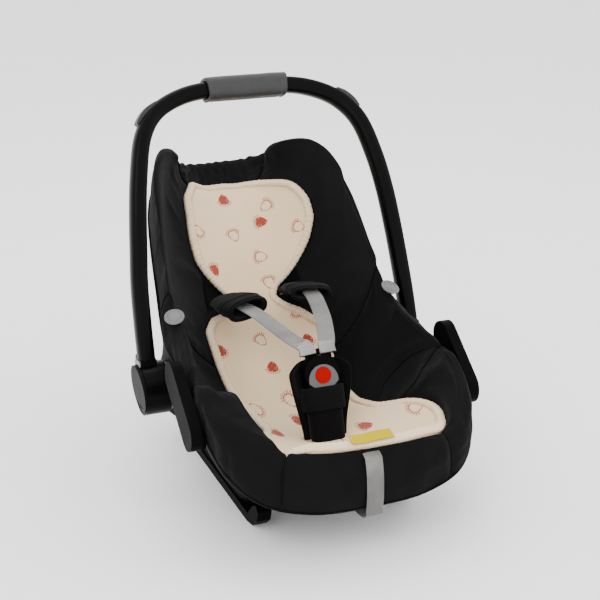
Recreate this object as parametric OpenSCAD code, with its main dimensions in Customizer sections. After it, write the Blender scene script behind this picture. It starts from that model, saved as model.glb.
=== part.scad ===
// Infant car seat: moulded shell on a rocker base, padded cover, comfort liner,
// three-point harness and a swinging carry handle.
// Millimetres. X is across the seat, -Y is the foot end, +Y the head end, Z is up.
// The origin is on the floor under the middle of the whole seat.

/* [Seat] */
// Height of the lowest point of the padded seating surface
pan_level = 98; // [92:1:106]
// Slope of the seat pan towards the foot end
pan_slope = 0.3; // [0.25:0.01:0.35]
// Slope of the backrest
back_slope = 1.3; // [1.2:0.01:1.35]
// How gently the pan turns into the backrest
bend_radius = 112.5; // [105:0.5:120]

/* [Shell and padding] */
// Wall of the moulded shell
shell_wall = 3.5; // [3:0.5:4.5]
// Depth of the shell under the padded surface at the foot end
shell_drop = 48; // [44:1:52]
// Thickness of the padded cover
cover_pad = 8; // [7:1:10]
// Thickness of the cover's hem over the shell rim
hem_pad = 3; // [2:0.5:4]
// Thickness of the comfort liner
liner_pad = 9; // [7:1:10]

/* [Handle] */
// Height of the handle's pivot above the floor
pivot_height = 152; // [148:1:156]
// Distance from the middle plane to the middle of a handle leg
leg_offset = 216; // [214:1:220]
// Width of the handle bar's section
bar_width = 24; // [22:1:26]
// Depth of the handle bar's section, fore and aft
bar_depth = 31; // [28:1:33]
// Length of the padded grip
grip_length = 134; // [110:2:140]
// Diameter of the hub discs
hub_diameter = 79; // [74:1:82]
// Diameter of the hub caps
cap_diameter = 74; // [68:1:76]
// Travel of each release button
button_travel = 4; // [3:0.5:4]

/* [Base] */
// Width over the two rocker skids
base_width = 250; // [240:2:260]
// Radius of the stroller and base latch bars
latch_bar_radius = 6; // [5:0.5:7]

/* [Harness] */
// Width of the harness webbing
webbing_width = 25; // [24:1:27]
// Thickness of the webbing
webbing_thick = 1.8; // [1.5:0.1:2.2]
// Diameter of the round buckle button
buckle_button_d = 24; // [22:1:26]
// Diameter of the two canopy studs
stud_d = 30; // [26:1:32]

/* [Hidden] */

$fn = 48;
gap = 0.3;
// Room between two padded layers, and between the padding and the shell.
layer_gap = 1.2;

// Top edge of the padding, from the middle of the front to the middle of the head end.
CREST = [
    [0, -319, 150], [80, -316, 151], [135, -297, 155], [175, -250, 185], [192, -190, 210],
    [188, -130, 222], [176, -50, 242], [172, 10, 268], [166, 60, 335], [157, 110, 395],
    [142, 165, 438], [118, 213, 451], [85, 266, 431], [55, 314, 403], [0, 320, 400]
];
// Lip of the shell under the cover's hem, at the same stations.
LIP = [
    [0, -329, 77], [80, -326, 80], [145, -306, 95], [183, -262, 125], [195, -200, 160],
    [192, -130, 185], [188, -50, 205], [184, 20, 220], [176, 80, 280], [168, 130, 330],
    [154, 185, 362], [132, 238, 382], [100, 290, 382], [60, 328, 374], [0, 336, 371]
];

// ---------- curves ----------
function flip(p) = [-p.x, p.y, p.z];
function reach_past(P, i) =
    let (last = len(P) - 1)
    i < 0 ? flip(P[-i]) : i > last ? flip(P[2 * last - i]) : P[i];
function open_past(P, i) = P[max(0, min(len(P) - 1, i))];
function blend4(a, b, c, d, f) =
    0.5 * (2 * b + (c - a) * f + (2 * a - 5 * b + 4 * c - d) * f * f + (3 * b - 3 * c + d - a) * f * f * f);
// A point at h (0 to 1) along a half outline that is mirrored past both of its ends.
function along(P, h) =
    let (t = h * (len(P) - 1), i = min(floor(t), len(P) - 2))
    blend4(reach_past(P, i - 1), P[i], P[i + 1], reach_past(P, i + 2), t - i);
// A point at h (0 to 1) along an open route.
function route(P, h) =
    let (t = h * (len(P) - 1), i = min(floor(t), len(P) - 2))
    blend4(open_past(P, i - 1), P[i], P[i + 1], open_past(P, i + 2), t - i);
function bezier(a, b, c, d, t) =
    let (r = 1 - t) r * r * r * a + 3 * r * r * t * b + 3 * r * t * t * c + t * t * t * d;
function unit(v) = v / max(norm(v), 1e-9);
function flat_join(rows) = [for (row = rows) each row];

// ---------- the seating surface ----------
mean_slope = (back_slope - pan_slope) / 2;
half_slope = (back_slope + pan_slope) / 2;
bend_y = 10;
spine_front = -200;
spine_head = 215;
level_offset = pan_level - mean_slope * bend_y - bend_radius * sqrt(half_slope ^ 2 - mean_slope ^ 2);
function spine_z(y) = level_offset + mean_slope * y + half_slope * sqrt((y - bend_y) ^ 2 + bend_radius ^ 2);
function spine_slope(y) = mean_slope + half_slope * (y - bend_y) / sqrt((y - bend_y) ^ 2 + bend_radius ^ 2);
// The sections fan out from the middle line at the front and at the head.
fan_spread = 0.06;
function spine_y(h) =
    let (t = max(-1, min(1, (along(CREST, h).y + 0.5) / 319.5)))
    (spine_front + spine_head) / 2 + (spine_head - spine_front) / 2
        * ((1 - fan_spread) * (1.5 * t - 0.5 * t ^ 3) + fan_spread * (2 * h - 1));
// How far the flat floor of a section reaches towards the wall.
function floor_reach(rim, low, slope) =
    let (rise = slope * (rim.y - low.y)) min(0.8, 0.6 * (rim.z - low.z) / max(rise, 1));
// Inner side of the padding: s runs from the crest (0) to the middle line (1).
function bowl(h, s) =
    let (
        rim = along(CREST, h),
        y = spine_y(h),
        low = [0, y, spine_z(y)],
        m = spine_slope(y),
        k = floor_reach(rim, low, m),
        toward = [low.x - rim.x, low.y - rim.y, 0]
    )
    bezier(rim, rim + 0.06 * toward, low + k * [rim.x, rim.y - low.y, m * (rim.y - low.y)], low, s);
// Outer side of the padding: q runs from the crest (0) to the shell's lip (1).
function skirt(h, q) =
    let (rim = along(CREST, h), lip = along(LIP, h), out = unit([lip.x - rim.x, lip.y - rim.y, 0]))
    bezier(rim, rim + 8 * out, lip + [0, 0, 0.45 * (rim.z - lip.z)] + 5 * out, lip, q);
function wrap(u) = u > 1 ? u - 2 : u < -1 ? u + 2 : u;
// The whole padded surface. u is the station, negative on the left; s is -1 at the lip,
// 0 on the crest and 1 on the middle line.
function pad_at(u, s) =
    let (w = wrap(u), p = s >= 0 ? bowl(abs(w), s) : skirt(abs(w), -s))
    w < 0 ? flip(p) : p;
// Direction from the occupant into the padding.
step = 0.004;
function pad_normal(u, s) =
    s > 0.97 ? let (m = spine_slope(spine_y(abs(u)))) unit([0, m, -1])
    : let (
        du = pad_at(u + step, s) - pad_at(u - step, s),
        ds = pad_at(u, min(1, s + step)) - pad_at(u, max(-1, s - step))
    ) unit(cross(ds, du));
function layer(u, s, depth) = pad_at(u, s) + depth * pad_normal(u, s);
function ease(t) = let (f = max(0, min(1, t))) f * f * (3 - 2 * f);
// Depths of the cover's outer and inner sides. It lies deeper under the liner, and it is
// thinner over the crest and down the hem.
crest_pad = 5;
function cover_top(s) = (liner_pad + layer_gap) * ease((s - 0.12) / 0.36);
function cover_under(s) =
    s < 0 ? hem_pad + (crest_pad - hem_pad) * (1 + s)
    : cover_top(s) + crest_pad + (cover_pad - crest_pad) * ease(s / 0.4);

// ---------- the shell ----------
function belly(h, t) =
    let (
        lip = along(LIP, h),
        y = spine_y(h),
        low = [0, y, spine_z(y) - shell_drop - 0.04 * (y - spine_front)],
        m = spine_slope(y),
        k = min(0.62, floor_reach(lip, low, m)),
        drop = lip.z - low.z - k * m * (lip.y - low.y)
    )
    bezier(
        lip,
        lip - [0, 0, 0.5 * max(drop, 0)],
        low + k * [lip.x, lip.y - low.y, m * (lip.y - low.y)],
        low,
        t
    );
hub_face = 186;
// The shell's side is flat around the handle's pivot.
function flatten_hub(p) =
    let (r = norm([p.y, p.z - pivot_height]), f = max(0, min(1, (68 - r) / 26)), e = f * f * (3 - 2 * f))
    [p.x + (sign(p.x) * hub_face - p.x) * (abs(p.x) > 120 ? e : 0), p.y, p.z];
function belly_at(u, t) =
    let (w = wrap(u), p = flatten_hub(belly(abs(w), t))) w < 0 ? flip(p) : p;
function belly_normal(u, t) =
    t > 0.97 ? let (m = spine_slope(spine_y(abs(u)))) unit([0, m, -1])
    : let (
        du = belly_at(u + step, t) - belly_at(u - step, t),
        dt = belly_at(u, min(1, t + step)) - belly_at(u, max(0, t - step))
    ) unit(cross(dt, du));
// A shell section from its rim, under the hem, out to the lip and down to the middle line.
// depth is measured into the wall.
function shell_lip(u, inward, depth) = layer(u, -1, inward) - depth * belly_normal(u, 0.06);
function shell_section(u, depth) = [
    for (s = [-0.75, -0.875]) layer(u, s, cover_under(s) + layer_gap + depth),
    shell_lip(u, cover_under(-1) + layer_gap + depth, depth) - [0, 0, 0.7],
    shell_lip(u, depth > 0 ? cover_under(-1) + layer_gap + depth : 0, depth) - [0, 0, 1],
    for (i = [1:shell_cells])
        let (t = i / shell_cells + (i == 1 && depth > 0 ? 0.075 : 0))
            belly_at(u, t) - depth * belly_normal(u, t)
];

// ---------- solids from grids ----------
// A closed bowl between two grids. Each row runs from the rim on one side, through the
// middle line, to the rim on the other side; the first and last rows are folded in two.
module bowl_solid(over, under) {
    last = len(over) - 1;
    mid = (len(over[0]) - 1) / 2;
    folded = mid + 1;
    full = 2 * mid + 1;
    count = 2 * folded + (last - 1) * full;
    function keep(rows) = [
        for (k = [0:last]) for (j = [(k == 0 || k == last) ? mid : 0 : 2 * mid]) rows[k][j]
    ];
    function at(k, j) =
        k == 0 ? abs(j - mid)
        : k == last ? folded + (last - 1) * full + abs(j - mid)
        : folded + (k - 1) * full + j;
    faces = [
        for (k = [0:last - 1]) for (j = [0:2 * mid - 1]) each [
            [at(k, j), at(k + 1, j + 1), at(k, j + 1)],
            [at(k, j), at(k + 1, j), at(k + 1, j + 1)],
            [count + at(k, j), count + at(k, j + 1), count + at(k + 1, j + 1)],
            [count + at(k, j), count + at(k + 1, j + 1), count + at(k + 1, j)]
        ],
        for (k = [0:last - 1]) each [
            [at(k, 0), count + at(k + 1, 0), at(k + 1, 0)],
            [at(k, 0), count + at(k, 0), count + at(k + 1, 0)],
            [at(k, 2 * mid), at(k + 1, 2 * mid), count + at(k + 1, 2 * mid)],
            [at(k, 2 * mid), count + at(k + 1, 2 * mid), count + at(k, 2 * mid)]
        ]
    ];
    real = [for (f = faces) if (f[0] != f[1] && f[1] != f[2] && f[2] != f[0]) f];
    polyhedron(concat(keep(over), keep(under)), real);
}
// A closed slab between two grids of the same size.
module slab(over, under) {
    rows = len(over);
    cols = len(over[0]);
    count = rows * cols;
    function at(i, j) = i * cols + j;
    polyhedron(concat(flat_join(over), flat_join(under)), [
        for (i = [0:rows - 2]) for (j = [0:cols - 2]) each [
            [at(i, j), at(i, j + 1), at(i + 1, j + 1)],
            [at(i, j), at(i + 1, j + 1), at(i + 1, j)],
            [count + at(i, j), count + at(i + 1, j + 1), count + at(i, j + 1)],
            [count + at(i, j), count + at(i + 1, j), count + at(i + 1, j + 1)]
        ],
        for (i = [0:rows - 2]) each [
            [at(i, 0), at(i + 1, 0), count + at(i + 1, 0)],
            [at(i, 0), count + at(i + 1, 0), count + at(i, 0)],
            [at(i, cols - 1), count + at(i + 1, cols - 1), at(i + 1, cols - 1)],
            [at(i, cols - 1), count + at(i, cols - 1), count + at(i + 1, cols - 1)]
        ],
        for (j = [0:cols - 2]) each [
            [at(0, j), count + at(0, j + 1), at(0, j + 1)],
            [at(0, j), count + at(0, j), count + at(0, j + 1)],
            [at(rows - 1, j), at(rows - 1, j + 1), count + at(rows - 1, j + 1)],
            [at(rows - 1, j), count + at(rows - 1, j + 1), count + at(rows - 1, j)]
        ]
    ]);
}
// A solid swept through closed rings, capped at both ends.
module swept(rings) {
    n = len(rings[0]);
    last = len(rings) - 1;
    polyhedron(flat_join(rings), [
        for (k = [0:last - 1]) for (i = [0:n - 1]) let (j = (i + 1) % n) each [
            [k * n + i, k * n + j, (k + 1) * n + j],
            [k * n + i, (k + 1) * n + j, (k + 1) * n + i]
        ],
        [for (i = [n - 1:-1:0]) i],
        [for (i = [0:n - 1]) last * n + i]
    ]);
}
// A sleeve between two sets of rings.
module sleeve(outer, inner) {
    n = len(outer[0]);
    last = len(outer) - 1;
    count = n * len(outer);
    polyhedron(concat(flat_join(outer), flat_join(inner)), [
        for (k = [0:last - 1]) for (i = [0:n - 1]) let (j = (i + 1) % n) each [
            [k * n + i, k * n + j, (k + 1) * n + j],
            [k * n + i, (k + 1) * n + j, (k + 1) * n + i],
            [count + k * n + i, count + (k + 1) * n + j, count + k * n + j],
            [count + k * n + i, count + (k + 1) * n + i, count + (k + 1) * n + j]
        ],
        for (i = [0:n - 1]) let (j = (i + 1) % n) each [
            [i, count + j, j], [i, count + i, count + j],
            [last * n + i, last * n + j, count + last * n + j],
            [last * n + i, count + last * n + j, count + last * n + i]
        ]
    ]);
}
// A rounded rectangular ring about a centre; a and b are its two directions.
function round_ring(centre, a, b, half_a, half_b, sides, power = 0.6) = [
    for (i = [0:sides - 1]) let (t = 360 * i / sides, c = cos(t), s = sin(t))
        centre + a * half_a * sign(c) * abs(c) ^ power + b * half_b * sign(s) * abs(s) ^ power
];
// Webbing along a list of points; the width direction is given at each point.
module webbing(points, across, width = webbing_width) {
    last = len(points) - 1;
    swept([
        for (i = [0:last])
            let (
                forward = unit(points[min(last, i + 1)] - points[max(0, i - 1)]),
                side = unit(across[i] - forward * (across[i] * forward)),
                up = cross(side, forward)
            ) [
                points[i] + side * width / 2 + up * webbing_thick / 2,
                points[i] - side * width / 2 + up * webbing_thick / 2,
                points[i] - side * width / 2 - up * webbing_thick / 2,
                points[i] + side * width / 2 - up * webbing_thick / 2
            ]
    ]);
}
// Children on the right, or mirrored to the left.
module on_side(left) {
    if (left) mirror([1, 0, 0]) children();
    else children();
}
module along_x(x0, x1, r) translate([x0, 0, 0]) rotate([0, 90, 0]) cylinder(r = r, h = x1 - x0);

// ---------- shell and base ----------
// Every layer is laid out on the same ring of stations.
stations = 42;
shell_cells = 8;
function mirrored_row(k, section) =
    let (right = section(k / stations), n = len(right))
    [for (i = [0:n - 1]) flip(right[i]), for (i = [n - 2:-1:0]) right[i]];
module shell() {
    inner = [for (k = [0:stations]) mirrored_row(k, function(u) shell_section(u, shell_wall))];
    outer = [for (k = [0:stations]) mirrored_row(k, function(u) shell_section(u, 0))];
    color("#1b1b1c") bowl_solid(inner, outer);
}

FOAM_S = [0.375, 0.5, 0.6, 0.7, 0.8, 0.9, 1];
function foam_top(u) = [for (s = FOAM_S) layer(u, s, cover_under(s) + layer_gap)];
// The shell's inner side without its rim.
function foam_bottom(u) =
    let (wall = shell_section(u, shell_wall + layer_gap), last = len(wall) - 1)
    [for (i = [last - len(FOAM_S) + 1:last]) wall[i]];
module foam_liner() {
    over = [for (k = [0:stations]) mirrored_row(k, function(u) foam_top(u))];
    under = [for (k = [0:stations]) mirrored_row(k, function(u) foam_bottom(u))];
    color("#b9b9b6") difference() {
        bowl_solid(over, under);
        translate([-24, -312, 95]) cube([48, 50, 60]);
    }
}

// The rocker skirt hangs from a line round the belly and ends on the skids.
SKIRT_T = [[0, 0.96], [1, 0.85], [2, 0.72], [4, 0.55], [7, 0.6], [8.5, 0.6], [9.5, 0.75], [10, 1]];
skirt_end = 10;
skirt_rows = 30;
skid_top = 14;
skirt_mid = -26;
skirt_wall = 4;
skirt_foot = [base_width / 2 - 2, 140];
skirt_corner = 10;
// A point of the skirt's upper edge, just clear of the belly; the inner line is lower and
// nearer the middle.
function skirt_top(k, inner) =
    let (
        idx = skirt_end * k / skirt_rows,
        u = idx / 14,
        t = lookup(idx, SKIRT_T),
        n = belly_normal(u, t),
        p = belly_at(u, t) + 2.3 * n,
        v = skirt_wall * unit([-p.x, skirt_mid - p.y, 0])
    )
    inner ? p + v - [0, 0, min(6, 0.8 + n * v / n.z)] : p;
// The lower edge is a rounded rectangle, straight out from the middle below the upper edge.
function skirt_low(p, inset) =
    let (
        v = [p.x, p.y - skirt_mid],
        x = abs(v.x) / (skirt_foot.x - inset),
        y = abs(v.y) / (skirt_foot.y - inset),
        size = (x ^ skirt_corner + y ^ skirt_corner) ^ (1 / skirt_corner)
    )
    [v.x / size, skirt_mid + v.y / size, skid_top + gap];
function skirt_point(k, f, inner) =
    let (p = skirt_top(k, inner)) lerp(p, skirt_low(p, inner ? 3 : 0), f);
function lerp(a, b, f) = a + (b - a) * f;
function skirt_ring(f, inner) = [
    for (k = [0:skirt_rows]) skirt_point(k, f, inner),
    for (k = [skirt_rows - 1:-1:1]) flip(skirt_point(k, f, inner))
];
module rocker_skirt() {
    color("#19191a") sleeve(
        [for (f = [0:0.25:1]) skirt_ring(f, false)],
        [for (f = [0:0.25:1]) skirt_ring(f, true)]
    );
}

skid_width = 21;
skid_inner = base_width / 2 - skid_width;
bar_y = 75;
bar_z = 24;
// Side outline of a skid: flat under the middle, turned up at both ends.
SKID = [
    [-172, 0], [110, 0], [134, 4], [150, 14], [152, 26], [144, 30], [120, skid_top],
    [-176, skid_top], [-196, 36], [-210, 43], [-219, 36], [-214, 20], [-197, 5]
];
module skid(left) {
    on_side(left) difference() {
        union() {
            translate([skid_inner, 0, 0]) rotate([90, 0, 90]) linear_extrude(skid_width) polygon(SKID);
            for (y = [-bar_y, bar_y]) translate([skid_inner, y - 12, skid_top - 2]) cube([8, 24, bar_z - 2]);
        }
        for (y = [-bar_y, bar_y])
            translate([0, y, bar_z]) along_x(skid_inner - 1, skid_inner + 9, latch_bar_radius + 0.05);
    }
}
module rocker_skid_left() color("#202021") skid(true);
module rocker_skid_right() color("#202021") skid(false);
module latch_bar(y) {
    reach = skid_inner + 7;
    translate([0, y, bar_z]) along_x(-reach, reach, latch_bar_radius);
}
module latch_bar_front() color("#8d9093") latch_bar(-bar_y);
module latch_bar_rear() color("#8d9093") latch_bar(bar_y);

// Shoulder-belt guide on the back of the shell.
module rear_belt_guide() {
    spot = belly_at(1, 0.5);
    n = belly_normal(1, 0.5);
    lean = atan2(n.z, n.y);
    color("#2a2a2c") translate(spot + 1.5 * n) rotate([lean, 0, 0]) difference() {
        translate([-45, 0, -15]) cube([90, 18, 30]);
        translate([-36, -1, -16]) cube([72, 15, 32]);
    }
}

// ---------- cover and liner ----------
// Seams lie at these stations, counted from the middle of the front.
seam_front = 5;
seam_thigh = 14;
seam_side = 22;
seam_head = 37;
seam_gap = 0.05;
cover_s = 0.5;
cover_cells = 12;
function cover_grid(k0, k1, s0, s1, cells, depth_of) = [
    for (k = [k0:k1])
        let (u = (k + (k == k0 ? seam_gap : 0) - (k == k1 ? seam_gap : 0)) / stations)
        [for (i = [0:cells]) let (s = lerp(s0, s1, i / cells)) layer(u, s, depth_of(s))]
];
module cover_panel(k0, k1) {
    slab(
        cover_grid(k0, k1, -1, cover_s, cover_cells, function(s) cover_top(s)),
        cover_grid(k0, k1, -1, cover_s, cover_cells, function(s) cover_under(s))
    );
}
module head_wing_left() color("#2e2e30") mirror([1, 0, 0]) cover_panel(seam_side, seam_head);
module head_wing_right() color("#2e2e30") cover_panel(seam_side, seam_head);
module side_panel_left() color("#232324") mirror([1, 0, 0]) cover_panel(seam_thigh, seam_side);
module side_panel_right() color("#232324") cover_panel(seam_thigh, seam_side);
module thigh_bolster_left() color("#1f1f20") mirror([1, 0, 0]) cover_panel(seam_front, seam_thigh);
module thigh_bolster_right() color("#1f1f20") cover_panel(seam_front, seam_thigh);
module head_panel() color("#2b2b2d") cover_panel(seam_head, 2 * stations - seam_head);
module front_panel() color("#1d1d1e") difference() {
    cover_panel(-seam_front, seam_front);
    translate([-15, -312, 100]) cube([30, 10, 60]);
}
seat_cells = 5;
function seat_section(u, depth_of) = [
    for (i = [0:seat_cells]) let (s = lerp(cover_s + 0.006, 1, i / seat_cells)) layer(u, s, depth_of(s))
];
function seat_rows(depth_of) = [
    for (k = [0:stations]) mirrored_row(k, function(u) seat_section(u, depth_of))
];
module seat_cover() {
    color("#161617") difference() {
        bowl_solid(seat_rows(function(s) cover_top(s)), seat_rows(function(s) cover_under(s)));
        translate([-22, -310, 100]) cube([44, 46, 24]);
    }
}
// Where the liner's edge lies, station by station: wide at the front, a waist at the
// shoulders where the straps come out, and a round head part.
LINER_EDGE = [
    [0, 0.1], [1, 0.13], [2, 0.28], [2.6, 0.4], [3.4, 0.5], [4.3, 0.62], [5, 0.72], [6, 0.73],
    [7, 0.7], [8, 0.68], [8.7, 0.77], [9.2, 0.87], [9.5, 0.87], [9.8, 0.62], [10.2, 0.53],
    [10.8, 0.5], [11.4, 0.49], [12, 0.52], [14, 0.53]
];
liner_cells = 6;
function liner_section(u, depth) =
    let (edge = lookup(14 * u, LINER_EDGE)) [
        for (i = [0:liner_cells])
            let (s = lerp(edge, 1, i / liner_cells)) layer(u, s, cover_top(s) - layer_gap - depth)
    ];
crotch_y = -180;
crotch_z = 104;
crotch_lean = 20;
function liner_rows(depth) = [for (k = [0:stations]) mirrored_row(k, function(u) liner_section(u, depth))];
module comfort_liner() {
    color("#e8dccb") difference() {
        bowl_solid(liner_rows(liner_pad), liner_rows(0));
        translate([-31, crotch_y - 11, crotch_z - 20]) cube([62, 26, 60]);
        translate([-14, -330, 118]) cube([28, 27, 38.5]);
    }
}
module liner_tag() {
    a = layer(0, 0.12, -liner_pad - 1);
    color("#f6df1e") translate([3, a.y + 7, a.z + 5]) rotate([12, 0, 2]) cube([62, 17, 0.8], center = true);
}
stud_spot = [174.3, -8.6, 259.6];
stud_tilt = 28;
stud_turn = -64;
module stud(left) {
    on_side(left) translate(stud_spot) rotate([0, stud_tilt, stud_turn]) union() {
        cylinder(r = stud_d / 2 - 3, h = 4);
        translate([0, 0, 3.5]) intersection() {
            cylinder(r = stud_d / 2, h = 5);
            translate([0, 0, -28]) sphere(r = 32);
        }
    }
}
module canopy_stud_left() color("#8c8c8c") stud(true);
module canopy_stud_right() color("#8c8c8c") stud(false);

// ---------- lap-belt horns ----------
horn_in = 203;
horn_out = 219;
function arc(c, r, a0, a1, n) = [for (i = [0:n]) let (a = lerp(a0, a1, i / n)) c + r * [cos(a), sin(a)]];
module horn(left) {
    slant = atan2(220 - 165, -128 + 198);
    outline = concat(
        arc([-128, 219], 24, slant - 90, slant + 90, 12),
        arc([-198, 165], 24, slant + 90, slant + 270, 12)
    );
    on_side(left) union() {
        translate([horn_in, 0, 0]) rotate([90, 0, 90]) linear_extrude(horn_out - horn_in) polygon(outline);
        translate([195.6, -213, 147]) cube([horn_in - 195, 34, 20]);
    }
}
module belt_horn_left() color("#141415") horn(true);
module belt_horn_right() color("#141415") horn(false);

// ---------- handle ----------
plate_in = hub_face + gap;
plate_out = plate_in + 3.4;
hub_in = plate_out + 0.8;
hub_out = leg_offset + bar_width / 2;
web_in = 206;
axle_r = 6;
module at_pivot(left) on_side(left) translate([0, 0, pivot_height]) children();
screw_ring = 28;
module ring_of_three(x0, x1, r) {
    for (a = [30, 150, 270]) rotate([a, 0, 0]) translate([0, 0, screw_ring]) along_x(x0, x1, r);
}
module pivot_plate(left) {
    at_pivot(left) difference() {
        along_x(plate_in, plate_out, 36);
        along_x(plate_in - 1, plate_out + 1, axle_r + 0.02);
        ring_of_three(plate_in - 1, plate_out + 1, 2.05);
    }
}
module pivot_plate_left() color("#77797c") pivot_plate(true);
module pivot_plate_right() color("#77797c") pivot_plate(false);
module hub_axle(left) {
    at_pivot(left) union() {
        along_x(plate_in, hub_out - 4, axle_r);
        along_x(hub_out - 7, hub_out - 3, 10);
    }
}
module hub_axle_left() color("#9a9c9f") hub_axle(true);
module hub_axle_right() color("#9a9c9f") hub_axle(false);
module fixing_screws() {
    color("#a5a7aa") for (left = [true, false]) at_pivot(left) {
        ring_of_three(plate_in + 0.1, plate_out + 0.5, 2);
        ring_of_three(plate_out, plate_out + 2, 3.6);
    }
}
neck_top = 200;
neck_y = 6;
module hub(left) {
    half = bar_width / 2;
    on_side(left) difference() {
        union() {
            translate([0, 0, pivot_height]) along_x(hub_in, hub_out, hub_diameter / 2);
            translate([leg_offset - half, neck_y - bar_depth / 2, pivot_height + 20])
                cube([bar_width, bar_depth, neck_top - pivot_height - 20]);
        }
        translate([0, 0, pivot_height]) {
            along_x(hub_in - 1, web_in, hub_diameter / 2 - 4);
            along_x(web_in + 5, hub_out + 1, 30);
            along_x(web_in - 1, web_in + 6, axle_r + 0.05);
        }
    }
}
module hub_left() color("#1a1a1b") hub(true);
module hub_right() color("#1a1a1b") hub(false);
cap_tilt = 5;
module hub_cap(left) {
    at_pivot(left) difference() {
        along_x(hub_out + 0.2, hub_out + 9, cap_diameter / 2);
        translate([hub_out + 3.6, 0, 0]) rotate([0, cap_tilt, 0])
            translate([0, -50, -50]) cube([20, 100, 100]);
        along_x(hub_out, hub_out + 1.4, cap_diameter / 2 - 3);
    }
}
module hub_cap_left() color("#3a3a3c") hub_cap(true);
module hub_cap_right() color("#3a3a3c") hub_cap(false);
module hub_indicator(left) {
    at_pivot(left) intersection() {
        difference() {
            along_x(hub_out + 0.2, hub_out + 2, 45);
            along_x(hub_out, hub_out + 3, 39);
        }
        translate([hub_out, neck_y - 13, 30]) cube([3, 26, 20]);
    }
}
module hub_indicator_left() color("#b9babb") hub_indicator(true);
module hub_indicator_right() color("#b9babb") hub_indicator(false);

// Centre line of the right half of the handle, from the hub's neck to the middle of the grip.
HANDLE = [
    [216, 2, 190], [215, 19, 240], [212, 41, 300], [207, 56, 350], [201, 73, 400], [192, 94, 450],
    [177, 120, 500], [152, 142, 530], [115, 155, 548], [69, 161, 557], [0, 162, 558]
];
WHOLE = concat(HANDLE, [for (i = [len(HANDLE) - 2:-1:0]) flip(HANDLE[i])]);
handle_rings = 56;
function bar_frame(h) =
    let (
        p = route(WHOLE, h),
        ahead = route(WHOLE, min(1, h + 0.003)) - route(WHOLE, max(0, h - 0.003)),
        forward = unit(ahead),
        radial = unit([0, p.y, p.z - pivot_height]),
        across = [0, radial.z, -radial.y],
        fore = unit(across - forward * (across * forward))
    )
    [p, cross(fore, forward), fore];
function bar_ring(h, extra, sides = 16) =
    let (f = bar_frame(h)) round_ring(f[0], f[1], -f[2], bar_width / 2 + extra, bar_depth / 2 + extra, sides);
// The release buttons sit on the outer side of the handle's two bends.
button_centre = [157, 139, 526];
button_out = unit([0.67, 0.25, 0.7]);
button_along = unit(cross([0, 0.936, -0.35], button_out));
button_fore = cross(button_out, button_along);
module button_place(left) {
    m = [for (r = [0:2]) [button_along[r], button_fore[r], button_out[r], button_centre[r]]];
    on_side(left) multmatrix([m[0], m[1], m[2], [0, 0, 0, 1]]) children();
}
module handle_bar() {
    color("#161617") difference() {
        swept([for (k = [0:handle_rings]) bar_ring(k / handle_rings, 0)]);
        for (left = [true, false]) button_place(left) translate([-23.5, -9.5, 1]) cube([47, 19, 30]);
        translate([-240, -30, neck_top - 40]) cube([480, 80, 40 + gap]);
    }
}
module handle_button(left) {
    button_place(left) intersection() {
        translate([-23, -9, 5.5]) cube([46, 18, 13]);
        translate([0, 0, -40]) rotate([90, 0, 0]) cylinder(r = 57, h = 40, center = true);
    }
}
module handle_button_left() color("#6d6e70") handle_button(true);
module handle_button_right() color("#6d6e70") handle_button(false);
module handle_grip() {
    half = grip_length / 2;
    lead = 0.5 - half / 1270;
    hs = [for (i = [0:8]) lerp(lead, 1 - lead, i / 8)];
    color("#3b3b3d") sleeve([for (h = hs) bar_ring(h, 6)], [for (h = hs) bar_ring(h, 0.4)]);
}
plunger_in = hub_in + 0.4;
module lock_plunger(left) {
    at_pivot(left) difference() {
        union() {
            along_x(plunger_in, plunger_in + 3, 22);
            along_x(plunger_in, plunger_in + 6, 10);
        }
        along_x(plunger_in - 1, plunger_in + 8, axle_r + 0.05);
    }
}
module lock_plunger_left() color("#c9cacb") lock_plunger(true);
module lock_plunger_right() color("#c9cacb") lock_plunger(false);
// A round-wire compression spring along X.
module coil_spring(x0, x1, radius, wire, turns) {
    steps = 12 * turns;
    swept([
        for (k = [0:steps])
            let (a = 30 * k, x = lerp(x0 + wire, x1 - wire, k / steps))
            let (c = [x, radius * cos(a), radius * sin(a)])
            [for (i = [0:5]) c + wire * ([0, cos(a), sin(a)] * cos(60 * i) + [1, 0, 0] * sin(60 * i))]
    ]);
}
module lock_spring(left) {
    at_pivot(left) coil_spring(plunger_in + 3.2, web_in - 0.2, 15, 0.9, 3);
}
module lock_spring_left() color("#b0b2b4") lock_spring(true);
module lock_spring_right() color("#b0b2b4") lock_spring(false);

// ---------- harness ----------
// Right-hand routes from the shoulder slot over the chest to the buckle.
STRAP_RIGHT = [
    [52, 118, 228], [57, 90, 246], [56, 55, 257], [52, 20, 263],
    [46, -20, 262], [36, -70, 252], [24, -110, 240], [15, -131, 235.5]
];
STRAP_LEFT = [
    [-56, 118, 228], [-62, 90, 240], [-60, 55, 247], [-56, 20, 252],
    [-50, -20, 254], [-40, -70, 249], [-30, -110, 243], [-18, -131, 237]
];
module shoulder_strap(points) {
    hs = [for (i = [0:20]) i / 20];
    color("#9a9896") webbing([for (h = hs) route(points, h)], [for (h = hs) [1, 0.15 * (1 - h), 0.1]]);
}
module shoulder_strap_left() shoulder_strap(STRAP_LEFT);
module shoulder_strap_right() shoulder_strap(STRAP_RIGHT);
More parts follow.
